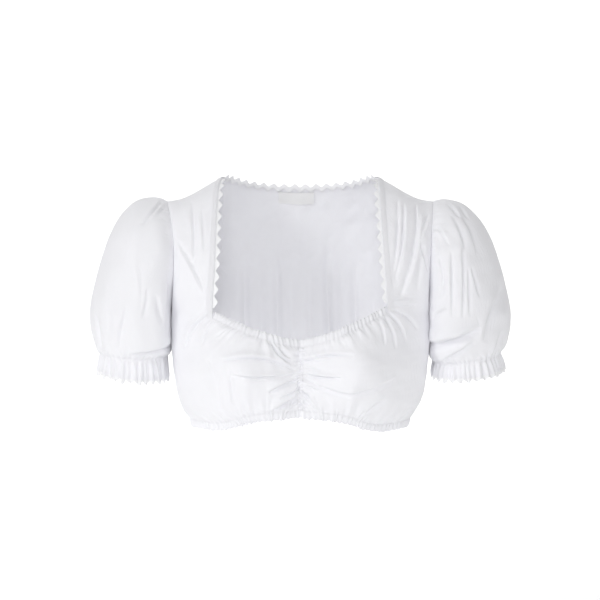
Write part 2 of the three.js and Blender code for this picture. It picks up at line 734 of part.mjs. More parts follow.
const back = backSheet();
const { neck, shoulder } = BACK_GRID;
const backEdge = back.points[back.rows]
  .map((point, i) => ({ point, normal: back.normals[back.rows][i] }))
  .slice(shoulder, shoulder + neck * 2 + 1);
const backBraid = braidSheet(backEdge, TEETH.back, false, BRAID_INSET, 1 - BRAID_INSET);
addPiece("back", wallOf(back));
addPiece("neck_band_back", wallOf(bandSheet(back, shoulder, back.rows - 1, neck * 2, 1), BAND.cloth));
addPiece("neck_braid_back", wallOf(backBraid, BRAID));
addPiece("label", wallOf(labelSheet(back), LABEL.cloth));

export default blouse;
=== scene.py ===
"""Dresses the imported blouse: thin white cotton with its gathers, folds, seams, stitches and braid.

Sizes are millimetres until a mesh is made, and angles are degrees. +X is the wearer's left, -Y the
front and +Z up. The sections follow the order in which the blouse is sewn together.
"""

from collections import namedtuple

import bpy
import numpy as np
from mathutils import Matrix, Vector


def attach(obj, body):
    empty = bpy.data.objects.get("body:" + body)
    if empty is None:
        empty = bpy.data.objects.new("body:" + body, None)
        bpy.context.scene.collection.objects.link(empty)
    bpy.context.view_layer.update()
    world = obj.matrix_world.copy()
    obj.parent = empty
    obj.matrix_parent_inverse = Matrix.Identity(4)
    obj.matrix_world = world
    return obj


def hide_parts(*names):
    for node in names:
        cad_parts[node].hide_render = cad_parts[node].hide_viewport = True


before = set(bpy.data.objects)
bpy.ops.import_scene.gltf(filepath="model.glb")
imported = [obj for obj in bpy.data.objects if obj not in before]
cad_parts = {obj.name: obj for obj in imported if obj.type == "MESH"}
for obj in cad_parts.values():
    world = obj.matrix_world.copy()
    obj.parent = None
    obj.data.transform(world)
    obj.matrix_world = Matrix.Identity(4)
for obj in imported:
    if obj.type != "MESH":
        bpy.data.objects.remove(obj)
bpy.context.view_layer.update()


# The two fronts. Each is one piece of thin, plain-woven white cotton, cut as a cup with a strap above
# it. It is drawn up into elastic along the hem, the neckline and the centre, and sewn to the back at
# the side and the shoulder. Its shape comes from level sections through a filled-out body.
BODY = {
    "height": (-330, -320, -309, -298, -284, -268, -245, -210, -168, -130),
    "half_width": (137, 139, 142, 150, 157, 161, 164, 165, 165, 165),
    "front": (88, 90, 93, 99, 103, 105, 105, 100, 89, 80),
    "back": (86, 88, 90, 95, 99, 102, 104, 106, 107, 107),
}
ROUNDNESS = 0.86
CUP = {"out": 26, "apart": 76, "height": -232, "wide": 44, "below": 42, "above": 52}
CENTRE_DRAW = {"depth": 7, "wide": 15}
CENTRE_STRIP = 7
HEM = {"angle": (0, 20, 36, 50, 90, 180), "height": (-301, -306, -315, -320, -320, -320)}
HEM_CASING = 10
CORNER_ANGLE = 38
NECKLINE = {"centre": -202, "left": -160, "right": -167, "curve": 1.3, "casing": 9}
UNDERARM_HEIGHT = -168
NECK_POINT = np.array((101.0, 8.0, 0.0))
SHOULDER_POINT = np.array((172.0, 6.0, -31.0))
STRAP_EDGE = ((109, -79, -148), (107, -75, -118), (105, -66, -84), (103, -50, -49), (101.5, -25, -14))
STRAP_SHIFT = {"left": (0, 0, 0, 0, 0), "right": (0.5, 1, 2.2, 3.6, 3)}
ARMHOLE = {"top": (172, 6, -31), "foot": (165, 0, -168), "front": 50, "back": 54}
ARMHOLE_BOW = {"left": 1.5, "right": 7, "back": 4}
SHOULDER_SAG = 5
SHOULDER_TURN = 2.4
CLOTH = 0.8
CASING_CLOTH = 1.6
FRONT_GRID = {"strip": 10, "cup": 118, "side": 138, "casing": 12, "body": 96, "strap": 76}
SIDES = {"left": 1, "right": -1}


def bell(offset, wide):
    """A smooth hump, 1 at its middle"""
    return np.exp(-((offset / wide) ** 2))


def smooth(places, values, at):
    """The value at each place on a smooth curve through a table's rows"""
    places, values = np.asarray(places, float), np.asarray(values, float)
    rows = np.arange(len(places))
    before, after = np.maximum(rows - 1, 0), np.minimum(rows + 1, rows[-1])
    slopes = (values[after] - values[before]) / (places[after] - places[before])
    n = np.clip(np.searchsorted(places, at) - 1, 0, rows[-1] - 1)
    span = places[n + 1] - places[n]
    t = np.clip((at - places[n]) / span, 0, 1)
    rest = 1 - t
    bend = span * t * rest * (slopes[n] * rest - slopes[n + 1] * t)
    return values[n] * rest**2 * (1 + 2 * t) + values[n + 1] * t**2 * (3 - 2 * t) + bend


def rounded(value):
    """Squares a circle's sine or cosine a little, as a body's section is"""
    return np.sign(value) * np.abs(value) ** ROUNDNESS


def on_body(angle, height):
    """Points of the body at angles round it (0 the front, 90 the wearer's left) and heights"""
    angle, height = np.broadcast_arrays(np.asarray(angle, float), np.asarray(height, float))
    side, ahead = np.sin(np.radians(angle)), np.cos(np.radians(angle))
    x = smooth(BODY["height"], BODY["half_width"], height) * rounded(side)
    face = np.where(
        ahead > 0,
        smooth(BODY["height"], BODY["front"], height),
        smooth(BODY["height"], BODY["back"], height),
    )
    tall = np.where(height > CUP["height"], CUP["above"], CUP["below"])
    cup = CUP["out"] * bell(np.abs(x) - CUP["apart"], CUP["wide"]) * bell(height - CUP["height"], tall)
    drawn = CENTRE_DRAW["depth"] * bell(x, CENTRE_DRAW["wide"])
    y = -face * rounded(ahead) - np.where(ahead > 0, cup * rounded(ahead) - drawn, 0)
    return np.stack([x, y, height], axis=-1)


def hem_height(angle):
    return smooth(HEM["angle"], HEM["height"], np.abs(angle))


def panel_foot(angle):
    """Where a panel ends above the hem's casing"""
    return hem_height(angle) + HEM_CASING


def neckline_height(side, angle):
    out = rounded(np.sin(np.radians(angle))) / rounded(np.sin(np.radians(CORNER_ANGLE)))
    return NECKLINE["centre"] + (NECKLINE[side] - NECKLINE["centre"]) * out ** NECKLINE["curve"]


def front_level(side, angle):
    """Where the cup ends under the neckline's casing, and the front's side ends at the underarm"""
    cup = neckline_height(side, np.minimum(angle, CORNER_ANGLE)) - NECKLINE["casing"]
    out = np.clip((angle - CORNER_ANGLE) / (90 - CORNER_ANGLE), 0, 1)
    return cup + (UNDERARM_HEIGHT - cup) * out**2 * (3 - 2 * out)


def armhole_bow(side, turn):
    """How far the armhole bows in from a straight line, most of all above its middle"""
    bow = np.where(np.sin(turn) > 0, ARMHOLE_BOW[side], ARMHOLE_BOW["back"])
    return bow * np.sin(turn) ** 2 * (1 + 0.5 * np.cos(turn))


def on_armhole(side, angle):
    """Points of the armhole: 0 is the shoulder, 90 the front and 180 the underarm"""
    turn = np.radians(np.asarray(angle, float))
    share = ((1 + np.cos(turn)) / 2)[..., None]
    point = np.array(ARMHOLE["foot"]) + (np.array(ARMHOLE["top"]) - np.array(ARMHOLE["foot"])) * share
    reach = np.where(np.sin(turn) > 0, ARMHOLE["front"], ARMHOLE["back"])
    aside = np.stack([armhole_bow(side, turn), reach * np.sin(turn), 0 * turn], axis=-1)
    return point - aside


def on_shoulder(share):
    """Points of the shoulder seam, which sags a little between the neck and the armhole"""
    share = np.asarray(share, float)
    sag = SHOULDER_SAG * np.sin(np.pi * np.clip(share, 0, 1) ** 1.6)
    line = NECK_POINT + (SHOULDER_POINT - NECK_POINT) * share[..., None]
    return line - sag[..., None] * np.array((0, 0, 1))


def curve_through(points):
    """A smooth curve through a few points, as a function of 0 to 1"""
    points = np.array(points, float)
    ends = 2 * points[[0, -1]] - points[[1, -2]]
    held = np.vstack([ends[:1], points, ends[1:]])

    def at(share):
        place = np.clip(np.asarray(share, float), 0, 1) * (len(points) - 1)
        n = np.minimum(place.astype(int), len(points) - 2)
        t = (place - n)[..., None]
        a, b, c, d = (held[n + k] for k in range(4))
        return 0.5 * (
            2 * b + (c - a) * t + (2 * a - 5 * b + 4 * c - d) * t**2 + (3 * b - a - 3 * c + d) * t**3
        )

    return at


def fill_patch(foot, head, start, end, across, up):
    """A patch between four edges. Its depth turns in late on the way up, towards the shoulder"""
    risen = up[..., None] ** np.array([1, SHOULDER_TURN, 1])

    def rise(low, high):
        return low + (high - low) * risen

    def level(near, far):
        return near + (far - near) * across[..., None]

    corners = rise(level(foot(0), foot(1)), level(head(0), head(1)))
    return rise(foot(across), head(across)) + level(start(up), end(up)) - corners


def faces_kept(points, closed=False):
    """All of a grid's faces, as cloth"""
    rows, columns = points.shape[:2]
    return np.ones((rows - 1, columns if closed else columns - 1), bool)


def corners_of(faces, points, closed):
    """The sum, at each point of a grid, of what its faces hold"""
    total = np.zeros(points.shape[:2] + faces.shape[2:])
    count = faces.shape[1]
    for rows in (slice(0, -1), slice(1, None)):
        total[rows, :count] += faces
        if closed:
            total[rows] += np.roll(faces, 1, axis=1)
        else:
            total[rows, 1:] += faces
    return total


def normals_of(points, keep=None, closed=False):
    """The outward normal at each point of a grid of cloth"""
    keep = faces_kept(points, closed) if keep is None else keep
    ahead = np.roll(points, -1, axis=1) if closed else points[:, 1:]
    here = points if closed else points[:, :-1]
    faces = np.cross(ahead[1:] - here[:-1], here[1:] - ahead[:-1])
    normals = corners_of(np.where(keep[..., None], faces, 0), points, closed)
    return normals / np.maximum(np.linalg.norm(normals, axis=-1, keepdims=True), 1e-9)


def soften(points, weight, times):
    """Evens out the cloth where its grid has some weight"""
    for _ in range(times):
        beside = np.roll(points, 1, axis=0) + np.roll(points, -1, axis=0)
        beside += np.roll(points, 1, axis=1) + np.roll(points, -1, axis=1)
        points = points + weight[..., None] * (beside / 4 - points) / 2
    return points


def travel(points, axis):
    """How far each point lies along its row or column of the grid"""
    steps = np.linalg.norm(np.diff(points, axis=axis), axis=-1)
    start = np.zeros_like(np.take(steps, [0], axis=axis))
    return np.concatenate([start, np.cumsum(steps, axis=axis)], axis=axis)


Gathers = namedtuple("Gathers", "centres heights runs leans widths around")


def draw_up(length, pitch, high, run, seed, lean=((0, 1), (0, 0)), closed=False):
    """Uneven gathers side by side along an edge, leaning as a table of places and slopes says"""
    rng = np.random.default_rng(seed)
    steps = rng.uniform(0.6, 1.4, max(int(round(length / pitch)), 2))
    steps *= length / steps.sum()
    centres = np.cumsum(steps) - steps / 2
    long_one = rng.random(len(steps)) < 0.3
    heights = high * rng.uniform(0.55, 1.25, len(steps)) * np.where(long_one, 1.2, 1)
    runs = run * rng.uniform(0.4, 1.1, len(steps)) * np.where(long_one, 1.9, 1)
    leans = np.interp(centres, *lean) + rng.normal(0, 0.13, len(steps))
    return Gathers(centres, heights, runs, leans, 0.41 * steps, length if closed else 0)


def gathered(gathers, along, inward):
    """The height of gathers, as round ridges with sharp valleys between them"""
    total = np.zeros(np.broadcast(along, inward).shape)
    within = np.maximum(inward, 0)
    for centre, high, run, lean, wide in zip(*gathers[:5]):
        offset = along - centre - lean * np.maximum(inward, 0.4 * inward)
        if gathers.around:
            offset = (offset + gathers.around / 2) % gathers.around - gathers.around / 2
        fade = np.clip(1 - within / (2 * run), 0, 1) ** 1.5
        total += (high * fade * bell(offset, wide * (1 + 0.6 * within / run))) ** 4
    return total**0.25


def pinched(distance, share=0.3, wide=1.8):
    """How far a row of stitches holds gathers down at a distance from it"""
    return 1 - share * bell(distance, wide)


def rolled(distance, deep=1.1, wide=1.8):
    """How far cloth turns in at a folded edge, at a distance from it"""
    return -deep * (1 - np.sqrt(1 - np.clip(1 - distance / wide, 0, 1) ** 2))


def folded(folds, across, up):
    """The height of folds. On the way from start to end the cloth rises gently on the left, drops
    steeply at the crease and comes back gently on the right"""
    height = np.zeros_like(across)
    for x0, z0, x1, z1, bow, wide, high in folds:
        length = np.hypot(x1 - x0, z1 - z0)
        share = ((across - x0) * (x1 - x0) + (up - z0) * (z1 - z0)) / length**2
        aside = ((across - x0) * (z1 - z0) - (up - z0) * (x1 - x0)) / length
        aside -= bow * np.sin(np.pi * np.clip(share, 0, 1))
        drop = 0.5 + 0.5 * np.tanh((aside + 0.1 * wide) / max(0.24 * wide, 0.9))
        profile = 0.6 * (1 - drop) * bell(aside, 1.6 * wide) - 1.15 * drop * bell(aside, 0.7 * wide)
        ends = np.clip(4 * share * (1 - share), 0, 1) ** 0.7
        height += high * ends * profile
    return height


def uneven(across, up, size, high, seed):
    """The small, wide unevenness of worn cloth"""
    rng = np.random.default_rng(seed)
    height = np.zeros_like(across)
    for _ in range(14):
        turn, phase = rng.uniform(0, 2 * np.pi, 2)
        waves = 2 * np.pi / (size * rng.uniform(0.6, 1.7))
        height += np.sin((across * np.cos(turn) + up * np.sin(turn)) * waves + phase)
    return height * high / 3.7


def raised_from(distance, high, wide):
    """Cloth that stands up beside a seam which holds it down"""
    return high * (1 - bell(np.maximum(distance, 0), wide))


def node_adder(tree):
    """A shorthand that adds a node to a tree and links or sets its inputs by name"""

    def add(kind, inputs=(), **settings):
        node = tree.nodes.new(kind)
        for setting, value in settings.items():
            setattr(node, setting, value)
        for socket, value in dict(inputs).items():
            if isinstance(value, bpy.types.NodeSocket):
                tree.links.new(value, node.inputs[socket])
            else:
                node.inputs[socket].default_value = value
        return node

    return add


COTTON_FINISH = {
    "Sheen Weight": 0.2,
    "Sheen Roughness": 0.45,
    "Specular IOR Level": 0.25,
    "Subsurface Weight": 0.4,
    "Subsurface Radius": (1, 1, 1),
    "Subsurface Scale": 0.0015,
}


def cotton(name, colour, rough, thread=0.45, weave=0.00005, crinkle=0.00035):
    """Plain-woven cloth: threads both ways on the piece's own UV map, with slubs and fine crinkles"""
    material = bpy.data.materials.new(name)
    material.use_nodes = True
    tree = material.node_tree
    add = node_adder(tree)
    shader = tree.nodes["Principled BSDF"]
    for socket, value in COTTON_FINISH.items():
        shader.inputs[socket].default_value = value
    place = add("ShaderNodeTexCoord").outputs
    lines = {"Vector": place["UV"], "Scale": 20 / thread, "Distortion": 0.6, "Detail Scale": 0.4}
    warp = add("ShaderNodeTexWave", lines, bands_direction="X").outputs["Fac"]
    weft = add("ShaderNodeTexWave", lines, bands_direction="Y").outputs["Fac"]
    woven = add("ShaderNodeMath", {0: warp, 1: weft}, operation="MULTIPLY").outputs["Value"]

    def drawn_noise(scale, stretch):
        along = add("ShaderNodeMapping", {"Vector": place["UV"], "Scale": stretch}).outputs["Vector"]
        noise = add("ShaderNodeTexNoise", {"Vector": along, "Scale": scale, "Detail": 4})
        return noise.outputs["Fac"]

    slubs = drawn_noise(26, (1, 0.16, 1))
    crinkles = drawn_noise(34, (1, 0.4, 1))
    tone = add("ShaderNodeTexNoise", {"Vector": place["Object"], "Scale": 14}).outputs["Fac"]
    tones = {"Factor": tone, "A": (*(c * 0.975 for c in colour), 1), "B": (*colour, 1)}
    mottle = add("ShaderNodeMix", tones, data_type="RGBA").outputs["Result"]
    tree.links.new(mottle, shader.inputs["Base Color"])
    range_of = {"Value": slubs, "To Min": rough - 0.06, "To Max": rough + 0.06}
    matt = add("ShaderNodeMapRange", range_of).outputs["Result"]
    tree.links.new(matt, shader.inputs["Roughness"])
    normal = shader.inputs["Normal"]
    for height, distance in ((crinkles, crinkle), (slubs, weave * 3), (woven, weave)):
        bump = add("ShaderNodeBump", {"Height": height, "Distance": distance})
        tree.links.new(bump.outputs["Normal"], normal)
        normal = bump.inputs["Normal"]
    return material


white_cotton = cotton("white_cotton", (0.915, 0.915, 0.955), rough=0.86)


def place_piece(name, mesh, material):
    mesh.materials.append(material)
    mesh.shade_smooth()
    piece = bpy.data.objects.new(name, mesh)
    bpy.context.scene.collection.objects.link(piece)
    return piece


def mirrored(vectors, side):
    """Everything is made for the wearer's left, and the right is its mirror image"""
    return vectors * np.array([SIDES[side], 1, 1])


def lay_cloth(name, points, side="left", keep=None, closed=False, material=None, thick=CLOTH):
    """Makes a thin shell of cloth from a grid of points in mm, with its UV map along the threads"""
    keep = faces_kept(points, closed) if keep is None else keep
    rows, columns = points.shape[:2]
    wrapped = np.concatenate([points, points[:, :1]], axis=1) if closed else points
    uv = np.stack([travel(wrapped, 1), travel(wrapped, 0)], axis=-1) / 100
    j, i = np.nonzero(keep)
    corners = [(j, i), (j, i + 1), (j + 1, i + 1), (j + 1, i)]
    if side == "right":
        corners.reverse()
    faces = np.stack([row * columns + column % columns for row, column in corners], axis=1)
    used, faces = np.unique(faces, return_inverse=True)
    faces = faces.reshape(-1, 4)
    placed = mirrored(points.reshape(-1, 3)[used], side) / 1000
    mesh = bpy.data.meshes.new(name)
    mesh.from_pydata(placed.tolist(), [], faces.tolist())
    layer = mesh.uv_layers.new(name="threads")
    corner_uv = np.stack([uv[row, column] for row, column in corners], axis=1)
    layer.data.foreach_set("uv", corner_uv.astype(np.float32).ravel())
    mark_rim(mesh)
    piece = place_piece(name, mesh, material or white_cotton)
    shell = piece.modifiers.new("thickness", "SOLIDIFY")
    shell.thickness = thick / 1000
    shell.offset = -1
    return piece


def mark_rim(mesh):
    """Keeps the edge round the cloth crisp, so that its faces are shaded as flat as they are"""
    sides = np.zeros(len(mesh.loops), np.int32)
    mesh.loops.foreach_get("edge_index", sides)
    rim = np.bincount(sides, minlength=len(mesh.edges)) == 1
    mesh.attributes.new("sharp_edge", "BOOLEAN", "EDGE").data.foreach_set("value", rim)


def sew_in(piece, slot, *nodes):
    """The piece moves with the blouse and stands for its solids"""
    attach(piece, "root")
    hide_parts(*nodes)


# Each fold's start across and up, its end across and up, its bow, its width and its height
FRONT_FOLDS = {
    "left": [
        (126, -28, 119, -118, -3, 5, 3.2),
        (134, -32, 121, -128, -4, 5, 3),
        (154, -44, 128, -150, -4, 7, 4),
        (150, -34, 150, -66, 0, 4, 2),
        (164, -122, 152, -80, 0, 4, 2),
        (167, -46, 152, -78, 0, 4, 2),
        (158, -80, 150, -142, 0, 9, 2),
        (116, -152, 146, -150, 0, 3, 2.4),
        (116, -160, 148, -160, 0, 3, 2.6),
        (112, -163, 152, -192, -5, 4, 3.2),
        (110, -166, 137, -208, -4, 3.6, 3),
        (106, -172, 122, -214, -3, 3.6, 2.6),
        (98, -176, 108, -208, -2, 3.4, 2),
        (2, -229, 68, -218, -4.5, 3.4, 4),
        (2, -226, 34, -226, 0, 2.6, 2),
        (3, -235, 26, -238, 0, 2.8, 2),
        (2, -243, 52, -247, 1.5, 3.2, 4.4),
        (3, -247, 122, -250, 19, 6, 3.6),
        (1, -256, 26, -264, 0, 3, 2.6),
        (1, -264, 20, -284, -1, 3.4, 4),
        (3, -271, 15, -290, 0, 2.8, 2.4),
        (15, -281, 32, -306, 0, 3.4, 2.6),
        (74, -298, 108, -276, 0, 6, 2.6),
    ],
    "right": [
        (140, -30, 136, -108, 2, 8, 3),
        (157, -80, 122, -144, 2, 5, 2.4),
        (126, -40, 122, -94, 0, 6, 1.6),
        (111, -167, 148, -216, -7, 3.4, 3.4),
        (106, -172, 126, -212, -3, 3.4, 2),
        (38, -195, 12, -232, -6, 3.4, 4),
        (30, -199, 12, -226, -4, 3, 2.6),
        (6, -239, 102, -226, -11, 3.8, 4.8),
        (6, -243, 88, -243, 3, 3.4, 4.4),
        (14, -246, 70, -250, 2, 4, 2),
        (3, -250, 40, -266, -1, 4.4, 4.4),
        (2, -262, 26, -274, 0, 3.2, 2.4),
        (2, -273, 44, -295, -1, 5, 5),
        (4, -286, 26, -302, 0, 3.4, 2.6),
        (90, -234, 85, -282, 0, 5, 1.6),
        (118, -226, 102, -290, 6, 8, 1.4),
    ],
}
# Each hollow's place across and up, its half widths across and up, and its depth
HOLLOWS = (
    (-3.5, -226, 5, 7, 3.4),
    (-10, -251, 7, 3.4, 2.6),
    (8, -271, 7, 3.4, 2.8),
    (-9, -282, 7, 5, 3.2),
    (-1, -262, 3, 3, 1.6),
    (3, -240, 4, 3, 1.4),
)
HEM_LEAN = ((0, 10, 30, 55, 90, 150, 240), (-0.1, -0.35, -0.3, 0, 0.45, 0.6, 0.35))
NECK_LEAN = {
    "left": ((0, 16, 28, 56, 95, 116), (0, -0.1, 0.1, 0.5, 0.6, 1.1)),
    "right": ((0, 16, 38, 50, 60, 116), (-0.4, -0.8, -0.6, 0.3, 0.8, 1.1)),
}
CENTRE_LEAN = ((0, 15, 35, 50, 82), (-0.9, -0.7, -0.35, -0.1, 0.15))
HEM_DROP = {"left": 5, "right": 2}
SIDE_PUFF = {"left": 6, "right": 4}
LEVEL_LINE = {"front": 16, "back": 14, "times": 300}
FOOT_ROW = FRONT_GRID["casing"]
TOP_ROW = FOOT_ROW + FRONT_GRID["body"]
CORNER_COLUMN = FRONT_GRID["strip"] + FRONT_GRID["cup"]


def front_shape(side):
    """The base of a front as a grid: the columns go from the centre to the side, and the rows from
    the hem up to the neckline's casing, or past the corner up the strap to the shoulder"""
    strip, cup, out = FRONT_GRID["strip"], FRONT_GRID["cup"], FRONT_GRID["side"]
    column = np.arange(CORNER_COLUMN + out + 1)
    outside = np.clip((column - CORNER_COLUMN) / out, 0, 1)
    angle = CORNER_ANGLE * np.clip((column - strip) / cup, 0, 1) + (90 - CORNER_ANGLE) * outside
    aside = CENTRE_STRIP / 2 * np.minimum(column / strip, 1 - (column - strip) / (cup + out))
    dropped = HEM_DROP[side] * bell(angle - 33, 16)
    foot, level = panel_foot(angle) - dropped, front_level(side, angle)
    casing_rows = np.arange(1, FOOT_ROW + 1)[:, None] / FOOT_ROW
    hem = foot - HEM_CASING * casing_rows[::-1]
    body = foot + (level - foot) * np.linspace(0, 1, FRONT_GRID["body"] + 1)[:, None]
    lower = on_body(angle, np.concatenate([hem, body]))
    lower[..., 0] += aside
    neck = on_body(angle, level + NECKLINE["casing"] * casing_rows)
    neck[..., 0] += aside

    edge = np.array(STRAP_EDGE, float)
    edge[:, 0] += STRAP_SHIFT[side]
    strap_edge = curve_through([on_body(CORNER_ANGLE, level[CORNER_COLUMN]), *edge, NECK_POINT])

    def patch_foot(share):
        at = CORNER_ANGLE + (90 - CORNER_ANGLE) * np.asarray(share, float)
        return on_body(at, front_level(side, at))

    def armhole(share):
        return on_armhole(side, 180 * (1 - share))

    up = np.linspace(0, 1, FRONT_GRID["strap"] + 1)[1:, None]
    across, up = np.broadcast_arrays(outside[None, :], up)
    upper = fill_patch(patch_foot, on_shoulder, strap_edge, armhole, across, up)
    upper[..., 0] += aside * (1 - up) ** 3
    upper[:FOOT_ROW, :CORNER_COLUMN] = neck[:, :CORNER_COLUMN]
    upper[FOOT_ROW:, :CORNER_COLUMN] = neck[-1, :CORNER_COLUMN]
    points = np.concatenate([lower, upper])
    puffed = bell(angle - 73, 13) * np.clip((90 - angle) / 9, 0, 1)
    points[..., 0] += SIDE_PUFF[side] * puffed * bell(points[..., 2] + 190, 62)
    keep = faces_kept(points)
    keep[TOP_ROW + FOOT_ROW :, :CORNER_COLUMN] = False
    keep[TOP_ROW:, CORNER_COLUMN - 1] = False
    inside = corners_of(keep.astype(float), points, False) > 3.5
    weight = inside * bell(np.arange(len(points))[:, None] - TOP_ROW, LEVEL_LINE["front"])
    weight *= np.clip((column - CORNER_COLUMN - 4) / 24, 0, 1)
    return soften(points, weight, LEVEL_LINE["times"]), keep


def draw_up_front(side):
    """A front's gathers, and the longer swells among them, along its hem, neckline and centre"""
    points, _ = front_shape(side)
    hem = travel(points[FOOT_ROW : FOOT_ROW + 1], 1)[0, -1]
    neck = travel(points[TOP_ROW : TOP_ROW + 1, : CORNER_COLUMN + 1], 1)[0, -1]
    centre = points[TOP_ROW, 0, 2] - points[FOOT_ROW, 0, 2]
    sign, neck_lean = SIDES[side], NECK_LEAN[side]
    return {
        "hem": draw_up(hem, pitch=6.2, high=2.5, run=13, seed=12 + sign, lean=HEM_LEAN),
        "hem_swells": draw_up(hem, pitch=13, high=2.6, run=30, seed=72 + sign, lean=HEM_LEAN),
        "neck": draw_up(neck, pitch=5.4, high=2.6, run=12, seed=22 + sign, lean=neck_lean),
        "neck_swells": draw_up(neck, pitch=10, high=2.4, run=19, seed=82 + sign, lean=neck_lean),
        "centre": draw_up(centre, pitch=6.6, high=3, run=10, seed=32 + sign, lean=CENTRE_LEAN),
    }


FRONT_GATHERS = {side: draw_up_front(side) for side in SIDES}


def centre_ridges(side, up, from_centre):
    """The ruching at the centre, where the two sides' puckers run into each other"""
    half = CENTRE_STRIP / 2
    other = "left" if side == "right" else "right"
    share = 0.5 + np.clip(from_centre / half, 0, 1) / 2
    share = share**2 * (3 - 2 * share)
    own = gathered(FRONT_GATHERS[side]["centre"], up, from_centre - half)
    shared = gathered(FRONT_GATHERS[other]["centre"], up, 0 * from_centre)
    ridges = share * own + (1 - share) * shared
    wander = 1.5 * np.sin(up / 7.3) + 0.6 * np.sin(up / 2.9)
    groove = (1.4 + 1.2 * np.sin(up / 4.6 + 1)) * bell(from_centre - SIDES[side] * wander, 1.3)
    pockets = 1.2 * bell(from_centre, 5) * (1 - ridges / 3)
    return ridges - groove - pockets


def hollows(across, up):
    """The depth of the soft hollows between the puckers"""
    return sum(
        deep * bell(across - x, wide) * bell(up - z, tall) for x, z, wide, tall, deep in HOLLOWS
    )


def make_front(side):
    """A front with its gathers and folds: its points, normals and the faces that are cloth"""
    points, keep = front_shape(side)
    normals = normals_of(points, keep)
    normals[:, 0, 0] = 0
    x, z = points[..., 0], points[..., 2]
    along, up = travel(points, 1), travel(points, 0)
    up = up - up[FOOT_ROW]
    column = np.arange(points.shape[1])[None, :]
    in_cup = column < CORNER_COLUMN
    in_strap = (np.arange(len(up))[:, None] > TOP_ROW) & ~in_cup
    below_neck = np.where(in_strap, 1e3, up[TOP_ROW] - up)
    past_corner = np.clip((column - CORNER_COLUMN) / 16, 0, 1)
    from_seam = np.where(in_cup, np.maximum(below_neck, 0), np.abs(up - up[TOP_ROW]))
    from_side = along[:, -1:] - along
    from_edge = np.where(in_strap, along - along[:, CORNER_COLUMN : CORNER_COLUMN + 1], 1e3)
    from_shoulder = np.where(in_cup, 1e3, up[-1] - up)
    from_centre = np.where(in_strap, 1e3, np.broadcast_to(along[TOP_ROW], up.shape))

    gathers = FRONT_GATHERS[side]
    hem = gathered(gathers["hem"], along[FOOT_ROW], up) * pinched(up)
    swells = gathered(gathers["hem_swells"], along[FOOT_ROW], up)
    hem = hem + swells * (1 - bell(np.maximum(up, 0), 6))
    neck = gathered(gathers["neck"], along[TOP_ROW], below_neck) * pinched(below_neck)
    swells = gathered(gathers["neck_swells"], along[TOP_ROW], below_neck)
    neck = neck + swells * (1 - bell(np.maximum(below_neck, 0), 5))
    near_corner = np.clip((column - CORNER_COLUMN + 7) / 7, 0, 1)
    neck = neck * (1 - near_corner * bell(np.maximum(below_neck, 0), 7))
    centre = centre_ridges(side, z - z[FOOT_ROW, 0], from_centre)
    centre = centre * (1 - 0.6 * bell(below_neck, 4)) * (1 - 0.6 * bell(up, 4))
    wide_folds = folded(FRONT_FOLDS[side], x, z)
    wide_folds += (
        uneven(x, z, size=34, high=0.6, seed=SIDES[side] + 2)
        + uneven(x, z, size=13, high=0.15, seed=SIDES[side] + 5)
    )
    wide_folds *= (1 - bell(from_seam, 4) * (1 - past_corner)) * (1 - bell(np.maximum(up, 0), 4))
    in_casing = np.clip(-np.minimum(up, below_neck), 0, None)
    height = (hem + neck) * (1 - bell(from_centre, 3)) + centre * bell(in_casing, 2)
    height += wide_folds * (1 - bell(from_centre, 2.5)) - hollows(SIDES[side] * x, z)
    calm = (1 - bell(from_side, 6)) * (1 - bell(from_edge, 9)) * (1 - bell(from_shoulder, 5))
    height = height * calm + raised_from(from_side, 0.5, 2.5) * (1 - bell(from_shoulder, 4))
    from_fold = np.minimum(HEM_CASING + up, NECKLINE["casing"] + below_neck)
    height += 0.5 * np.sin(np.pi * np.clip(in_casing / HEM_CASING, 0, 1)) + rolled(from_fold)
    points = points + normals * height[..., None]
    scallop = 0.45 * (neck * (below_neck < 0) - hem * (up < 0)) * calm
    points[..., 2] += scallop * (in_casing / HEM_CASING) ** 3
    return points, normals_of(points, keep), keep


def joined_fronts(rows, columns):
    """The same stretch of both fronts, joined at the centre"""
    left, right = (fronts[side][0][rows, columns] for side in ("left", "right"))
    return np.concatenate([mirrored(right, "right")[:, ::-1], left[:, 1:]], axis=1)


fronts = {side: make_front(side) for side in SIDES}
for side in SIDES:
    panel = fronts[side][0][FOOT_ROW:, FRONT_GRID["strip"] :]
    keep = fronts[side][2][FOOT_ROW:, FRONT_GRID["strip"] :].copy()
    keep[FRONT_GRID["body"] :, : FRONT_GRID["cup"]] = False
    piece = lay_cloth(f"{side}_front", panel, side, keep)
    sew_in(piece, "cotton", f"front_{side}")

# The ruched centre. A narrow tape behind draws the two cups together, so the cotton between them
# stands up in short, deep, uneven puckers from the neckline to the hem.
centre = lay_cloth(
    "centre_ruching",
    joined_fronts(slice(FOOT_ROW, TOP_ROW + 1), slice(0, FRONT_GRID["strip"] + 1)),
)
sew_in(centre, "cotton", "centre_gather")

# The casing along the front neckline. The cloth's edge is folded over a narrow elastic and stitched
# down, so it bunches into fine, tight gathers that go on into the cups below.
neck_casings = {}
for side in SIDES:
    neck_casings[side] = fronts[side][0][TOP_ROW : TOP_ROW + FOOT_ROW + 1, :CORNER_COLUMN]
    piece = lay_cloth(f"{side}_neck_casing", neck_casings[side], side, thick=CASING_CLOTH)
    sew_in(piece, "cotton", f"neck_casing_{side}")

# The back, one piece with its yoke. It runs round from side seam to side seam, drawn up at the hem,
# and falls in soft upright folds, which show through the open neckline too.
BACK_GRID = {"neck": 96, "shoulder": 64, "body": 64, "yoke": 60}
NECK_SHARE = 0.42
CENTRE_BACK = ((0, 105, -128), (0, 100, -88), (0, 91, -50))
BACK_NECKLINE = ((0, 81, -18), (34, 77, -16.5), (66, 63, -12), (90, 38, -4))
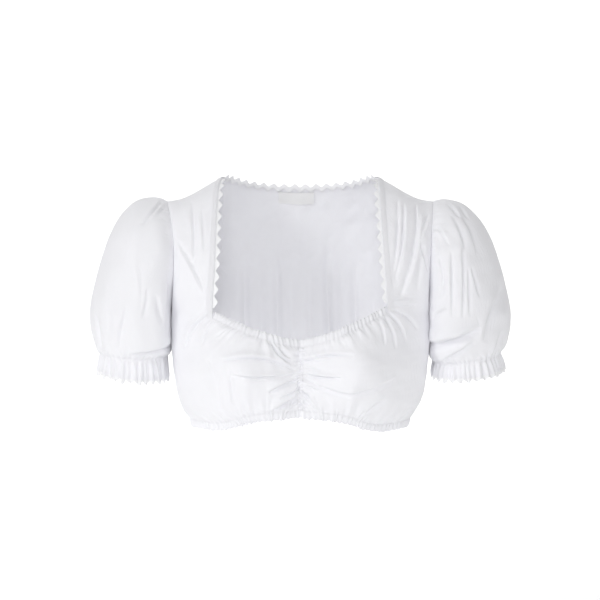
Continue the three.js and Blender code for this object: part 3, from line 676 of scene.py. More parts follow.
# Each hollow's foot across and up, its top across and up, half its width and its depth
BACK_FOLDS = [
    (-120, -290, -112, -170, 9, 3),
    (-98, -290, -98, -140, 8, 3.4),
    (-75, -290, -71, -96, 9, 6),
    (-52, -290, -53, -120, 8, 3.6),
    (-32, -290, -30, -88, 9, 6.4),
    (-12, -290, -9, -130, 7, 3),
    (14, -290, 17, -112, 8, 3.4),
    (39, -290, 38, -80, 9, 7.4),
    (58, -290, 55, -118, 7, 3.6),
    (77, -290, 74, -104, 8, 5.4),
    (98, -290, 97, -140, 8, 3.4),
    (120, -290, 112, -170, 9, 3),
]
SIDE_TO_SIDE = travel(on_body(np.linspace(90, 270, 400), panel_foot(180))[None], 1)[0, -1]
BACK_HEM_GATHERS = draw_up(SIDE_TO_SIDE, pitch=6.4, high=2.4, run=16, seed=41)
BACK_HEM_SWELLS = draw_up(SIDE_TO_SIDE, pitch=14, high=2.4, run=32, seed=43)
BACK_TOP_ROW = FOOT_ROW + BACK_GRID["body"]


def rippled(folds, across, up):
    """The height of upright folds that run out upwards: hollows, as seen from inside, with a rounder
    wave on both sides of each"""
    height = np.zeros_like(across)
    for x0, z0, x1, z1, wide, high in folds:
        share = np.clip((up - z0) / (z1 - z0), 0, 1)
        aside = across - x0 - (x1 - x0) * share - 1.5 * np.sin(share * 5 + x0)
        fade = 1.7 * (1 - share**2)
        height += high * fade * (bell(aside, 0.6 * wide) - 0.45 * bell(aside, 1.3 * wide))
    return height


def make_back():
    """The back with its gathers and folds, from the hem's edge up to the shoulders and the neck"""
    half, shoulder = BACK_GRID["neck"] // 2, BACK_GRID["shoulder"]
    outwards = np.concatenate(
        [np.linspace(0, NECK_SHARE, half + 1), np.linspace(NECK_SHARE, 1, shoulder + 1)[1:]]
    )
    share = np.concatenate([outwards[::-1], outwards[1:]])
    flip = np.where(np.arange(len(share)) >= len(outwards), -1, 1)
    angle = 180 - 90 * share
    neckline = curve_through([*BACK_NECKLINE, NECK_POINT])
    centre_back = curve_through([on_body(180, UNDERARM_HEIGHT), *CENTRE_BACK, BACK_NECKLINE[0]])

    def foot(s):
        return on_body(180 - 90 * np.asarray(s, float), UNDERARM_HEIGHT)

    def head(s):
        s = np.asarray(s, float)
        past = (s - NECK_SHARE) / (1 - NECK_SHARE)
        return np.where((s < NECK_SHARE)[..., None], neckline(s / NECK_SHARE), on_shoulder(past))

    def armhole(share):
        return on_armhole("back", 180 * (1 + share))

    lift = np.concatenate(
        [-np.arange(FOOT_ROW, 0, -1) / FOOT_ROW * HEM_CASING / (UNDERARM_HEIGHT - panel_foot(180)),
         np.linspace(0, 1, BACK_GRID["body"] + 1)]
    )[:, None]
    lower = on_body(angle[None, :], panel_foot(angle) + (UNDERARM_HEIGHT - panel_foot(angle)) * lift)
    across, up = np.broadcast_arrays(share[None, :], np.linspace(0, 1, BACK_GRID["yoke"] + 1)[1:, None])
    upper = fill_patch(foot, head, centre_back, armhole, across, up)
    points = np.concatenate([lower, upper])
    points[..., 0] *= flip
    keep = faces_kept(points)
    inside = corners_of(keep.astype(float), points, False) > 3.5
    weight = inside * bell(np.arange(len(points))[:, None] - BACK_TOP_ROW, LEVEL_LINE["back"])
    points = soften(points, weight, LEVEL_LINE["times"])
    normals = normals_of(points)
    x, z = points[..., 0], points[..., 2]
    along, rise = travel(points, 1), travel(points, 0)
    rise = rise - rise[FOOT_ROW]
    from_side = np.minimum(along, along[:, -1:] - along)
    from_top = rise[-1] - rise
    hem = gathered(BACK_HEM_GATHERS, along[FOOT_ROW], rise) * pinched(rise)
    swells = gathered(BACK_HEM_SWELLS, along[FOOT_ROW], rise)
    wide_folds = (
        rippled(BACK_FOLDS, x, z)
        + uneven(x, z, size=30, high=0.6, seed=5)
        + uneven(x, z, size=12, high=0.15, seed=6)
    )
    height = hem + (swells + wide_folds) * (1 - bell(np.maximum(rise, 0), 5))
    calm = (1 - bell(from_side, 8)) * (1 - bell(from_top, 12))
    height = height * calm + raised_from(from_side, 0.5, 2.5) * (1 - bell(from_top, 4))
    in_casing = np.clip(-rise, 0, None)
    height += 0.5 * np.sin(np.pi * np.clip(in_casing / HEM_CASING, 0, 1)) + rolled(HEM_CASING + rise)
    points = points + normals * height[..., None]
    points[..., 2] -= 0.45 * hem * calm * (in_casing / HEM_CASING) ** 3
    return points


back_points = make_back()
back_normals = normals_of(back_points)
back = lay_cloth("back_panel", back_points[FOOT_ROW:])
sew_in(back, "cotton", "back")

# The hem's casing, front and back. A narrow elastic runs inside a folded edge with a row of stitches
# above it, and the cotton bunches round it in even, close gathers.
hem_casings = {
    "front": joined_fronts(slice(0, FOOT_ROW + 1), slice(0, None)),
    "back": back_points[: FOOT_ROW + 1],
}
for name, points in hem_casings.items():
    piece = lay_cloth(f"{name}_hem_casing", points, thick=CASING_CLOTH)
    sew_in(piece, "cotton", f"hem_casing_{name}")

# The puffed sleeves. Each is a wide piece of the same cotton, gathered at the top of the armhole and
# drawn into elastic above the elbow, so it balloons out with long soft folds.
SLEEVE = {
    "out_x": (172, 191, 213, 232, 246, 257, 266, 272, 272, 268, 262),
    "out_z": (-31, -26, -29, -47, -74, -106, -139, -168, -191, -210, -224),
    "in_x": (165, 165.9, 166.1, 166.1, 166.1, 166.2, 166.4, 166.8, 167.6, 169, 171.5),
    "in_z": (-168, -175, -183, -191, -199, -207, -215, -223, -230, -236, -241),
    "front": (50, 59, 64, 67, 68, 68, 67, 65, 61, 55, 48),
    "back": (54, 61, 65, 67, 68, 68, 67, 65, 61, 55, 48),
    "shift": (6, 5, 4, 3, 2, 1, 0, 0, 0, 0, 0),
}
CUFF = {
    "out_x": (262, 262, 266),
    "out_z": (-224, -230, -243),
    "in_x": (171.5, 171.5, 170),
    "in_z": (-241, -246, -258),
    "front": (48, 47, 50),
    "back": (48, 47, 50),
    "shift": (0, 0, 0),
}
HANG = {
    "slump": {"left": 8, "right": 3},
    "rise": {"left": 4, "right": 12},
    "dip": {"left": 4, "right": 4},
    "hem_inner": {"left": 2, "right": -12},
    "hem_outer": {"left": 0, "right": -5},
    "hem_dip": {"left": 4, "right": 0},
    "flare": {"left": 0, "right": -4},
}
ARMHOLE_GAP = 0.2
SLEEVE_GRID = {"round": 360, "down": 84, "cuff": 26}
ELASTIC = {"below": 3, "wide": 4.2, "deep": 1.8}
# Each fold's start across and up, its end across and up, its bow, its width and its height
SLEEVE_FOLDS = {
    "left": {
        "front": [
            (191, -33, 205, -50, 0, 2.8, 3.4),
            (206, -36, 218, -52, 0, 3, 2),
            (177, -60, 190, -84, 0, 3.4, 2.4),
            (210, -92, 194, -48, 2, 6, 2.2),
            (226, -96, 206, -46, 2, 7, 1.8),
            (178, -150, 177, -98, 4, 4.4, 2.4),
            (176, -96, 177, -74, 0, 3.4, 2.4),
            (193, -176, 192, -92, 0, 5, 2.8),
            (206, -176, 206, -82, 1, 4.4, 2.8),
            (215, -174, 213, -112, 0, 4.4, 2.2),
            (228, -150, 217, -112, 0, 4, 2.2),
            (234, -208, 260, -140, -4, 13, 5),
            (154, -214, 229, -189, 4, 10, 10),
            (178, -236, 222, -208, 0, 5, 4),
            (170, -180, 188, -164, -3, 3, 2.4),
            (247, -226, 259, -198, 0, 4, 2.8),
        ],
        "back": [
            (196, -60, 214, -140, 6, 9, 3),
            (208, -54, 228, -130, 5, 8, 2.6),
            (236, -110, 240, -190, -3, 9, 3),
            (222, -130, 224, -196, 2, 7, 2.8),
            (196, -168, 206, -216, 2, 7, 3.2),
            (180, -120, 184, -190, 1, 7, 2.4),
        ],
    },
    "right": {
        "front": [
            (178, -29, 203, -58, 1, 3.6, 2.8),
            (172, -34, 188, -52, 0, 3, 2),
            (176, -184, 183, -146, 0, 6, 2.4),
            (206, -106, 204, -166, 2, 8, 1.6),
            (195, -136, 201, -178, 1, 6, 1.8),
            (223, -162, 234, -218, -1, 6, 2.6),
            (264, -168, 255, -224, 0, 5, 2.6),
            (169, -120, 173, -204, 0, 6, 2),
            (242, -120, 248, -218, 0, 9, 1.4),
            (158, -212, 218, -224, 2, 8, 9),
        ],
        "back": [
            (200, -64, 216, -150, 5, 9, 3),
            (212, -60, 230, -140, 5, 8, 2.4),
            (238, -120, 242, -196, -3, 9, 3),
            (190, -160, 202, -218, 2, 7, 3.2),
            (214, -150, 220, -206, 2, 6, 2.4),
        ],
    },
}


def on_ring(table, down, angle, flat=0):
    """Points of a sleeve's ring: 0 is its outer end, 90 its front, 180 its inner end. The inner end
    may lie flatter than round"""
    row = np.arange(len(table["out_x"]))
    at = {column: smooth(row, values, down * row[-1]) for column, values in table.items()}
    turn = np.radians(angle)
    share = (1 + np.cos(turn)) / 2
    x = at["in_x"] + (at["out_x"] - at["in_x"]) * share ** (1 + flat)
    z = at["in_z"] + (at["out_z"] - at["in_z"]) * share
    y = at["shift"] * share - np.where(np.sin(turn) > 0, at["front"], at["back"]) * np.sin(turn)
    return np.stack(np.broadcast_arrays(x, y, z), axis=-1)


CUFF_GIRTH = travel(on_ring(CUFF, 0.0, np.linspace(0, 360, 361))[None], 1)[0, -1]
HEAD_ARC = {"start": 260, "turn": 200}
SLEEVE_GATHERS = {
    side: {
        "cuff": draw_up(CUFF_GIRTH, pitch=7, high=3.3, run=10, seed=52 + sign, closed=True),
        "swells": draw_up(CUFF_GIRTH, pitch=15, high=2.8, run=24, seed=92 + sign, closed=True),
        "head": draw_up(HEAD_ARC["turn"], pitch=8, high=2.2, run=17, seed=62 + sign),
    }
    for side, sign in SIDES.items()
}


def evened(height):
    """Heights round a ring, with their mean taken out"""
    return height - height.mean(axis=1, keepdims=True)


def hung_sleeve(side, angle):
    """The base of a sleeve and its cuff as one closed grid, from the armhole down"""
    hang = {name: sides[side] for name, sides in HANG.items()}
    turn = np.radians(angle)
    share, ahead = (1 + np.cos(turn)) / 2, np.sin(turn)
    down = np.linspace(0, 1, SLEEVE_GRID["down"] + 1)[:, None]
    puff = on_ring(SLEEVE, down, angle, 0.45 * np.sin(np.pi * down) ** 0.8)
    puff[..., 0] -= armhole_bow(side, turn) * (1 - down) ** 4
    puff[..., 2] += hang["rise"] * (1 - share) * down**3
    puff[..., 2] -= hang["dip"] * np.maximum(ahead, 0) * down**3
    puff[..., 2] -= hang["slump"] * bell(down - 0.25, 0.16) * np.maximum(np.cos(turn), 0)
    below = np.linspace(0, 1, SLEEVE_GRID["cuff"] + 1)[1:, None]
    frill = on_ring(CUFF, below, angle)
    frill[..., 2] += hang["rise"] * (1 - share) - hang["dip"] * np.maximum(ahead, 0)
    frill[..., 2] += below * (hang["hem_inner"] * (1 - share) + hang["hem_outer"] * share)
    frill[..., 2] -= below * hang["hem_dip"] * np.maximum(ahead, 0)
    frill[..., 0] += below * hang["flare"] * share
    points = np.concatenate([puff, frill])
    points[..., 0] += ARMHOLE_GAP
    return points


def make_sleeve(side):
    """A sleeve and its cuff with their gathers and folds, from the armhole down"""
    angle = 360 * np.arange(SLEEVE_GRID["round"])[None, :] / SLEEVE_GRID["round"]
    points = hung_sleeve(side, angle)
    normals = normals_of(points, closed=True)
    x, z = points[..., 0], points[..., 2]
    run = travel(points, 0)
    above = run[SLEEVE_GRID["down"]] - run
    in_frill = np.clip(-above / 18, 0, 1.2)
    along = angle / 360 * CUFF_GIRTH
    ahead = np.sin(np.radians(angle))
    inner = 1 - 0.8 * bell(angle - 180, 38)
    top = np.clip(np.cos(np.radians(angle)) + 0.35, 0, 1)
    gathers = SLEEVE_GATHERS[side]
    head = gathered(gathers["head"], (angle - HEAD_ARC["start"]) % 360, run) - 1.1 * bell(run, 16)
    head = head * top
    swells = evened(gathered(gathers["swells"], along, above)) * (1 - bell(np.maximum(above, 0), 7))
    height = head + swells
    for face, facing in (("front", ahead), ("back", -ahead)):
        folds = folded(SLEEVE_FOLDS[side][face], x, z)
        folds = folds + uneven(x, z, size=30, high=0.8, seed=SIDES[side] + len(face))
        height = height + folds * np.clip(facing * 2.5, 0, 1)
    height *= (1 - bell(run, 4)) * (1 - bell(np.maximum(above, 0), 3))
    pleats = evened(gathered(gathers["cuff"], along, above))
    height += pleats * (1 - 0.4 * bell(above + ELASTIC["below"], 3)) * (1 + 0.3 * in_frill)
    height -= ELASTIC["deep"] * bell(above + ELASTIC["below"], ELASTIC["wide"])
    height = height * inner + raised_from(run, 0.9, 2.6) * inner
    points = points + normals * height[..., None]
    points[..., 2] -= 0.5 * pleats * in_frill**2 * inner
    return points


sleeves, cuffs, cuff_normals = {}, {}, {}
for side in SIDES:
    whole = make_sleeve(side)
    sleeves[side] = whole[: SLEEVE_GRID["down"] + 1]
    cuffs[side] = whole[SLEEVE_GRID["down"] :]
    cuff_normals[side] = normals_of(whole, closed=True)[SLEEVE_GRID["down"] :]
    piece = lay_cloth(f"{side}_sleeve", sleeves[side], side, closed=True)
    sew_in(piece, "cotton", f"sleeve_{side}")

# The gathered bands below the sleeves' elastic. The sleeve's cloth goes on past the elastic as a
# short frill in close pleats, which flare a little towards the braid on their edge.
for side in SIDES:
    piece = lay_cloth(f"{side}_cuff", cuffs[side], side, closed=True)
    sew_in(piece, "cotton", f"cuff_{side}")

# The flat band round the neckline. It is a folded strip of the same cotton, laid on the straps and
# on the back's top edge and stitched down along both of its sides.
BAND = {"wide": 8.6, "cloth": 0.5, "across": 14, "clear": 0.1, "puff": 0.35}
STRAP_MIDDLE = TOP_ROW + 20
BACK_MIDDLE = 100


def sampled(grid, row, column):
    """Values part of the way between a grid's points"""
    row, column = np.broadcast_arrays(row, column)
    j = np.clip(row.astype(int), 0, grid.shape[0] - 2)
    i = np.clip(column.astype(int), 0, grid.shape[1] - 2)
    up, over = (row - j)[..., None], (column - i)[..., None]
    low = grid[j, i] * (1 - over) + grid[j, i + 1] * over
    return low * (1 - up) + (grid[j + 1, i] * (1 - over) + grid[j + 1, i + 1] * over) * up


def lay_band(name, points, normals, side, node):
    """A band on a grid of the panel's points, from its open edge inwards"""
    across = np.linspace(0, 1, points.shape[1])[None, :]
    puffed = BAND["clear"] + BAND["cloth"] + BAND["puff"] * np.sin(np.pi * across) ** 0.5
    grid = points + normals * puffed[..., None]
    piece = lay_cloth(name, grid, side, thick=BAND["cloth"])
    sew_in(piece, "cotton", node)
    return piece, grid


bands = {}
for side in SIDES:
    points, normals, _ = fronts[side]
    beside = points[STRAP_MIDDLE, CORNER_COLUMN : CORNER_COLUMN + 2]
    spacing = np.linalg.norm(beside[1] - beside[0])
    columns = CORNER_COLUMN + np.linspace(0, BAND["wide"] / spacing, BAND["across"] + 1)[None, :]
    rows = np.arange(TOP_ROW, len(points) - 1e-6, 1.0)[:, None]
    bands[side] = lay_band(
        f"{side}_strap_band",
        sampled(points, rows, columns),
        sampled(normals, rows, columns),
        side,
        f"neck_band_{side}",
    )
neck_columns = BACK_GRID["shoulder"] + np.arange(BACK_GRID["neck"] + 1.0)[:, None]
top_row = len(back_points) - 1
cell = back_points[top_row - 1 :, BACK_MIDDLE : BACK_MIDDLE + 2]
row_height = np.linalg.norm(cell[1, 0] - cell[0, 0])
column_width = np.linalg.norm(cell[1, 0] - cell[1, 1])
rows = top_row - np.linspace(0, BAND["wide"] / row_height, BAND["across"] + 1)[None, :]
bands["back"] = lay_band(
    "back_neck_band",
    sampled(back_points, rows, neck_columns)[::-1],
    sampled(back_normals, rows, neck_columns)[::-1],
    "left",
    "neck_band_back",
)

# The zigzag braid, a narrow woven ribbon sewn behind the edges of the neckline and the cuffs, so that
# its points stick out past the cloth. Geometry Nodes bend one ribbon along each edge.
BRAID = {"wide": 7.4, "thick": 1.1, "low": 2.2, "high": 7, "behind": 1, "steps": 16}
TEETH = {"strap": 12, "back": 18, "cuff": 28}
BRAID_START = 0.06
BRAID_INSET = 0.014
white_braid = cotton(
    "white_braid", (0.93, 0.93, 0.95), rough=0.8, thread=0.9, weave=0.00012, crinkle=0
)


def node_tree(name, sockets):
    """A Geometry Nodes tree with inputs by name. Gives the tree, its inputs, its result and its adder"""
    tree = bpy.data.node_groups.new(name, "GeometryNodeTree")
    tree.interface.new_socket("Geometry", in_out="OUTPUT", socket_type="NodeSocketGeometry")
    tree.interface.new_socket("Geometry", in_out="INPUT", socket_type="NodeSocketGeometry")
    for socket, kind in sockets.items():
        tree.interface.new_socket(socket, in_out="INPUT", socket_type=f"NodeSocket{kind}")
    given = tree.nodes.new("NodeGroupInput")
    result = tree.nodes.new("NodeGroupOutput")
    return tree, given.outputs, result.inputs["Geometry"], node_adder(tree)


def kept_field(add, geometry, name, kind, value):
    """Stores a field's value on the geometry under a name and returns the geometry"""
    inputs = {"Geometry": geometry, "Name": name, "Value": value}
    return add("GeometryNodeStoreNamedAttribute", inputs, data_type=kind).outputs["Geometry"]


def finish_tree(tree, add, geometry, material, result):
    """Makes the instances real, smooth and coloured at the end of a tree"""
    real = add("GeometryNodeRealizeInstances", {"Geometry": geometry}).outputs["Geometry"]
    soft = add("GeometryNodeSetShadeSmooth", {"Geometry": real}).outputs["Geometry"]
    coloured = add("GeometryNodeSetMaterial", {"Geometry": soft, "Material": material})
    tree.links.new(coloured.outputs["Geometry"], result)


def zigzag_tree():
    """Bends a ribbon in even zigzags along a line whose points hold their outward and face directions"""
    sockets = {"Teeth": "Int", "Steps": "Int", "Material": "Material"}
    sockets.update(dict.fromkeys(("Low", "High", "Width", "Thickness", "Behind"), "Float"))
    tree, given, result, add = node_tree("zigzag_braid", sockets)

    def maths(operation, first, second=0.0):
        return add("ShaderNodeMath", {0: first, 1: second}, operation=operation).outputs[0]

    def vectors(operation, first, second):
        return add("ShaderNodeVectorMath", {0: first, 1: second}, operation=operation).outputs[0]

    def scaled(vector, factor):
        node = add("ShaderNodeVectorMath", {0: vector, "Scale": factor}, operation="SCALE")
        return node.outputs[0]

    def named(name, kind):
        node = add("GeometryNodeInputNamedAttribute", {"Name": name}, data_type=kind)
        return node.outputs["Attribute"]

    line = add("GeometryNodeMeshToCurve", {"Mesh": given["Geometry"]}).outputs["Curve"]
    count = maths("ADD", maths("MULTIPLY", given["Teeth"], given["Steps"]), 1.0)
    line = add("GeometryNodeResampleCurve", {"Curve": line, "Count": count}).outputs["Curve"]
    share = add("GeometryNodeSplineParameter").outputs["Factor"]
    line = kept_field(add, line, "share", "FLOAT", share)
    place = add("GeometryNodeInputPosition").outputs["Position"]
    line = kept_field(add, line, "place", "FLOAT_VECTOR", place)
    section = add("GeometryNodeCurvePrimitiveCircle", {"Resolution": 12, "Radius": 0.001})
    section = kept_field(add, section.outputs["Curve"], "turn", "FLOAT", share)
    ribbon = add("GeometryNodeCurveToMesh", {"Curve": line, "Profile Curve": section, "Fill Caps": True})

    turn = maths("MULTIPLY", named("turn", "FLOAT"), 2 * np.pi)
    teeth = maths("MULTIPLY", maths("MULTIPLY", named("share", "FLOAT"), given["Teeth"]), 2.0)
    wave = maths("PINGPONG", teeth, 1.0)
    bend = maths("SUBTRACT", 1.0, maths("COSINE", maths("MULTIPLY", wave, np.pi)))
    wave = maths("ADD", maths("MULTIPLY", wave, 0.5), maths("MULTIPLY", bend, 0.25))
    depth = maths("SUBTRACT", given["High"], given["Low"])
    tip = maths("ADD", given["Low"], maths("MULTIPLY", wave, depth))
    half = maths("MULTIPLY", given["Width"], 0.5)
    reach = maths("ADD", maths("SUBTRACT", tip, half), maths("MULTIPLY", half, maths("COSINE", turn)))
    half_thick = maths("MULTIPLY", given["Thickness"], 0.5)
    lift = maths("SUBTRACT", maths("MULTIPLY", half_thick, maths("SINE", turn)), given["Behind"])
    outward = scaled(named("outward", "FLOAT_VECTOR"), reach)
    aside = vectors("ADD", outward, scaled(named("face", "FLOAT_VECTOR"), lift))
    position = vectors("ADD", named("place", "FLOAT_VECTOR"), aside)
    ribbon = add("GeometryNodeSetPosition", {"Geometry": ribbon.outputs["Mesh"], "Position": position})

    threads = add("ShaderNodeCombineXYZ", {"X": teeth, "Y": named("turn", "FLOAT")}).outputs[0]
    inputs = {"Geometry": ribbon.outputs[0], "Name": "threads", "Value": scaled(threads, 0.05)}
    stored = add("GeometryNodeStoreNamedAttribute", inputs, data_type="FLOAT2", domain="CORNER")
    finish_tree(tree, add, stored.outputs["Geometry"], given["Material"], result)
    return tree


ZIGZAG = zigzag_tree()


def grow_along(name, tree, points, closed=False, inputs=None, **directions):
    """Runs a Geometry Nodes tree on a line of points in mm, and keeps its result as a plain mesh"""
    count = len(points)
    ahead = [(n, (n + 1) % count) for n in range(count if closed else count - 1)]
    mesh = bpy.data.meshes.new(f"{name}_line")
    mesh.from_pydata((points / 1000).tolist(), ahead, [])
    for direction, vectors in directions.items():
        layer = mesh.attributes.new(direction, "FLOAT_VECTOR", "POINT")
        layer.data.foreach_set("vector", vectors.astype(np.float32).ravel())
    line = bpy.data.objects.new(f"{name}_line", mesh)
    bpy.context.scene.collection.objects.link(line)
    grown = line.modifiers.new("grown", "NODES")
    grown.node_group = tree
    for item in tree.interface.items_tree:
        if item.in_out == "INPUT" and item.name in (inputs or {}):
            grown[item.identifier] = inputs[item.name]
    graph = bpy.context.evaluated_depsgraph_get()
    result = bpy.data.meshes.new_from_object(line.evaluated_get(graph), depsgraph=graph)
    result.name = name
    bpy.data.objects.remove(line)
    piece = bpy.data.objects.new(name, result)
    bpy.context.scene.collection.objects.link(piece)
    return piece


def edge_directions(points, normals, closed=False):
    """The direction out of the cloth at each point of its edge"""
    if closed:
        ahead = np.roll(points, -1, axis=0) - np.roll(points, 1, axis=0)
    else:
        ahead = np.gradient(points, axis=0)
    out = -np.cross(ahead, normals)
    return out / np.linalg.norm(out, axis=1, keepdims=True)


def sew_braid(name, points, normals, side, teeth, node, closed=False, kept_share=(0, 1), upright=0):
    """Sews a braid along an edge, or the kept share of it, with its teeth out or partly upright"""
    out = edge_directions(points, normals, closed) * (1 - upright) + np.array((0, 0, upright))
    out /= np.linalg.norm(out, axis=1, keepdims=True)
    if not closed:
        reached = travel(points[None], 1)[0] / travel(points[None], 1)[0, -1]
        kept = (reached >= kept_share[0]) & (reached <= kept_share[1])
        points, normals, out = points[kept], normals[kept], out[kept]
    inputs = {
        "Teeth": teeth,
        "Steps": BRAID["steps"],
        "Low": BRAID["low"] / 1000,
        "High": BRAID["high"] / 1000,
        "Width": BRAID["wide"] / 1000,
        "Thickness": BRAID["thick"] / 1000,
        "Behind": BRAID["behind"] / 1000,
        "Material": white_braid,
    }
    piece = grow_along(
        name,
        ZIGZAG,
        mirrored(points, side),
        closed,
        inputs,
        outward=mirrored(out, side),
        face=mirrored(normals, side),
    )
    sew_in(piece, "braid", node)
    return piece


for side in SIDES:
    points, normals, _ = fronts[side]
    edge = slice(TOP_ROW, None), CORNER_COLUMN
    sew_braid(
        f"{side}_strap_braid",
        points[edge],
        normals[edge],
        side,
        TEETH["strap"],
        f"neck_braid_{side}",
        kept_share=(BRAID_START, 1 - BRAID_INSET),
    )
    sew_braid(
        f"{side}_cuff_zigzag",
        cuffs[side][-1],
        cuff_normals[side][-1],
        side,
        TEETH["cuff"],
        f"cuff_braid_{side}",
        closed=True,
    )
edge = -1, slice(BACK_GRID["shoulder"], BACK_GRID["shoulder"] + BACK_GRID["neck"] + 1)
sew_braid(
    "back_neck_braid",
    back_points[edge],
    back_normals[edge],
    "left",
    TEETH["back"],
    "neck_braid_back",
    kept_share=(2 * BRAID_INSET, 1 - 2 * BRAID_INSET),
    upright=0.4,
)

# The blank label, a piece of white satin ribbon, stitched down at its two ends. It hangs inside the
# back of the neck from the lower edge of the band.
LABEL = {"wide": 47, "high": 17, "aside": -5, "raised": 3, "clear": 1.6, "cloth": 0.5}


def satin(name, colour):
    """Fine ribbon with close threads across it, which shine a little along their length"""
    material = cotton(name, colour, rough=0.42, thread=0.3, weave=0.00003, crinkle=0.0001)
    shader = material.node_tree.nodes["Principled BSDF"]
    shader.inputs["Anisotropic"].default_value = 0.4
    shader.inputs["Specular IOR Level"].default_value = 0.45
    return material


def make_label():
    """The label's points, hanging just clear of the back's inner side and bowed out a little"""
    centre = BACK_GRID["shoulder"] + BACK_GRID["neck"] / 2
    across = np.linspace(-0.5, 0.5, 25)[None, :] * LABEL["wide"] + LABEL["aside"]
    hanging = np.linspace(1, 0, 11)[:, None]
    down = hanging * LABEL["high"] + BAND["wide"] - LABEL["raised"]
    columns = centre - across / column_width
    rows = top_row - down / row_height
    lift = LABEL["clear"] + 0.5 * bell(across - LABEL["aside"], 16) * hanging
    return sampled(back_points, rows, columns) - sampled(back_normals, rows, columns) * lift[..., None]


label_points = make_label()[:, ::-1]
label = lay_cloth(
    "blank_label", label_points, material=satin("white_satin", (0.99, 0.99, 0.99)), thick=LABEL["cloth"]
)
sew_in(label, "label", "label")

# The stitches, in white cotton thread: a row along each side of the neck band, along each casing and
# at each end of the label, and two along each sleeve's elastic. They hold each edge to what is under it.
STITCH = {"long": 2.3, "wide": 0.34, "pitch": 3.1, "raised": 0.08}
STITCHED_COLUMNS = {"edge": 2, "inner": BAND["across"] - 2}
ELASTIC_ROWS = {"upper": 1, "lower": 8}
white_thread = cotton(
    "white_thread", (0.9, 0.9, 0.92), rough=0.7, thread=0.2, weave=0.00002, crinkle=0
)


def stitch_tree():
    """Lays even stitches on a line whose points hold the direction that the cloth faces"""
    sockets = {"Pitch": "Float", "Size": "Vector", "Material": "Material"}
    tree, given, result, add = node_tree("stitches", sockets)
    line = add("GeometryNodeMeshToCurve", {"Mesh": given["Geometry"]}).outputs["Curve"]
    inputs = {"Curve": line, "Length": given["Pitch"]}
    line = add("GeometryNodeResampleCurve", inputs, mode="LENGTH").outputs["Curve"]
    bead = add("GeometryNodeMeshUVSphere", {"Segments": 6, "Rings": 4, "Radius": 0.5})
    face = add("GeometryNodeInputNamedAttribute", {"Name": "face"}, data_type="FLOAT_VECTOR")
    tangent = add("GeometryNodeInputTangent").outputs["Tangent"]
    axes = {"Primary Axis": tangent, "Secondary Axis": face.outputs["Attribute"]}
    turned = add("FunctionNodeAxesToRotation", axes, primary_axis="X", secondary_axis="Z")
    laid = add(
        "GeometryNodeInstanceOnPoints",
        {
            "Points": line,
            "Instance": bead.outputs["Mesh"],
            "Rotation": turned.outputs["Rotation"],
            "Scale": given["Size"],
        },
    )
    finish_tree(tree, add, laid.outputs["Instances"], given["Material"], result)
    return tree


STITCHES = stitch_tree()


def stitch(name, points, normals, side="left", closed=False):
    """Sews a row of stitches along a line of points on the cloth"""
    inputs = {
        "Pitch": STITCH["pitch"] / 1000,
        "Size": tuple(size / 1000 for size in (STITCH["long"], STITCH["wide"], STITCH["wide"])),
        "Material": white_thread,
    }
    raised = mirrored(points + normals * STITCH["raised"], side)
    row = grow_along(name, STITCHES, raised, closed, inputs, face=mirrored(normals, side))
    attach(row, "root")
    return row


for side, (band, grid) in bands.items():
    rows = []
    normals = normals_of(grid)
    mirror = side if side in SIDES else "left"
    for name, column in STITCHED_COLUMNS.items():
        rows.append(stitch(f"{side}_band_{name}_stitches", grid[:, column], normals[:, column], mirror))
for side in SIDES:
    grid = neck_casings[side]
    stitch(f"{side}_neck_casing_stitches", grid[1], normals_of(grid)[1], side)
    grid = cuffs[side]
    normals = cuff_normals[side]
    for name, row in ELASTIC_ROWS.items():
        stitch(f"{side}_elastic_{name}_stitches", grid[row], normals[row], side, closed=True)
for name, grid in hem_casings.items():
    stitch(f"{name}_hem_stitches", grid[-2], normals_of(grid)[-2])
label_normals = -normals_of(label_points)
for name, column in (("near", 1), ("far", -2)):
    stitch(f"label_{name}_stitches", label_points[:, column], label_normals[:, column])

# The studio: a sheet of white paper as floor and wall, which glows faintly so that it looks white, two
# lamps on the blouse, one behind it on the paper, and the camera at the photo's angle. In metres.
FRAME_WIDTH = 0.78
CAMERA_DISTANCE = 3.25
CAMERA_RISE = 5.0
AIM = (0.0, 0.0, -0.1592)
FLOOR_HEIGHT = -0.62
SWEEP = {"front": -6.0, "start": 3.0, "radius": 1.4, "top": 4.0, "half_width": 6.0}


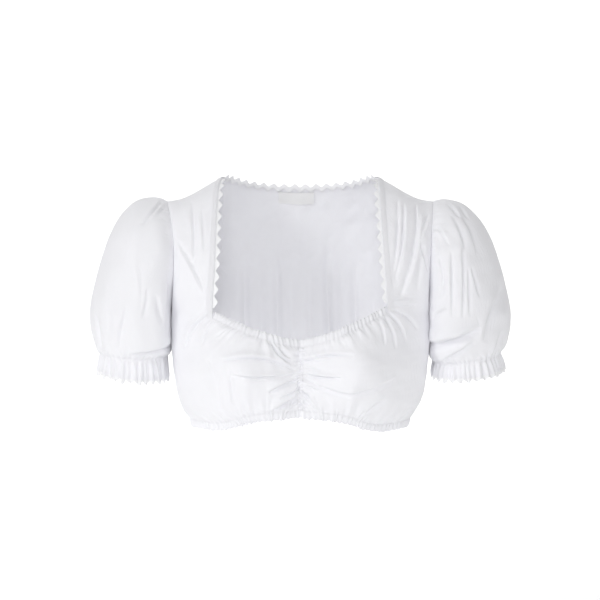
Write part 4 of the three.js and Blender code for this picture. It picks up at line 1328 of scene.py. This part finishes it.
def make_stage():
    turn = np.radians(np.linspace(0, 90, 17))
    back = SWEEP["start"] + SWEEP["radius"]
    y = np.concatenate([[SWEEP["front"]], SWEEP["start"] + SWEEP["radius"] * np.sin(turn), [back]])
    z = np.concatenate([[0], SWEEP["radius"] * (1 - np.cos(turn)), [SWEEP["top"]]]) + FLOOR_HEIGHT
    x = np.array([-1, 1]) * SWEEP["half_width"]
    corners = [(side, y[n], z[n]) for n in range(len(y)) for side in x]
    faces = [(2 * n, 2 * n + 1, 2 * n + 3, 2 * n + 2) for n in range(len(y) - 1)]
    mesh = bpy.data.meshes.new("studio")
    mesh.from_pydata(corners, [], faces)
    mesh.shade_smooth()
    studio = bpy.data.objects.new("studio", mesh)
    bpy.context.scene.collection.objects.link(studio)
    paper = bpy.data.materials.new("studio_paper")
    paper.use_nodes = True
    shader = paper.node_tree.nodes["Principled BSDF"]
    shader.inputs["Base Color"].default_value = (0.95, 0.95, 0.95, 1)
    shader.inputs["Roughness"].default_value = 1
    shader.inputs["Emission Color"].default_value = (1, 1, 1, 1)
    shader.inputs["Emission Strength"].default_value = 0.22
    mesh.materials.append(paper)


def add_light(name, place, aim, size, power):
    light = bpy.data.lights.new(name, "AREA")
    light.shape, light.size, light.energy = "DISK", size, power
    lamp = bpy.data.objects.new(name, light)
    lamp.location = place
    direction = np.array(aim) - np.array(place)
    lamp.rotation_mode = "QUATERNION"
    lamp.rotation_quaternion = Vector(direction).to_track_quat("-Z", "Y")
    bpy.context.scene.collection.objects.link(lamp)


make_stage()
add_light("key", (-2.2, -1.9, 1.4), AIM, 0.9, 21)
add_light("fill", (-0.1, -3.0, 0.6), AIM, 0.8, 20)
add_light("backdrop", (0.0, 1.5, 2.0), (0.0, 3.8, -0.2), 2.2, 55)

scene = bpy.context.scene
world = bpy.data.worlds.new("studio_air")
world.use_nodes = True
world.node_tree.nodes["Background"].inputs["Color"].default_value = (1, 1, 1, 1)
world.node_tree.nodes["Background"].inputs["Strength"].default_value = 0.45
scene.world = world
scene.view_settings.view_transform = "Standard"
scene.view_settings.look = "None"

camera = bpy.data.objects.new("camera", bpy.data.cameras.new("camera"))
camera.data.sensor_width = 36
camera.data.lens = 36 * CAMERA_DISTANCE / FRAME_WIDTH
rise = np.radians(CAMERA_RISE)
camera.location = np.array(AIM) + CAMERA_DISTANCE * np.array([0, -np.cos(rise), np.sin(rise)])
camera.rotation_euler = (np.pi / 2 - rise, 0, 0)
scene.collection.objects.link(camera)
scene.camera = camera
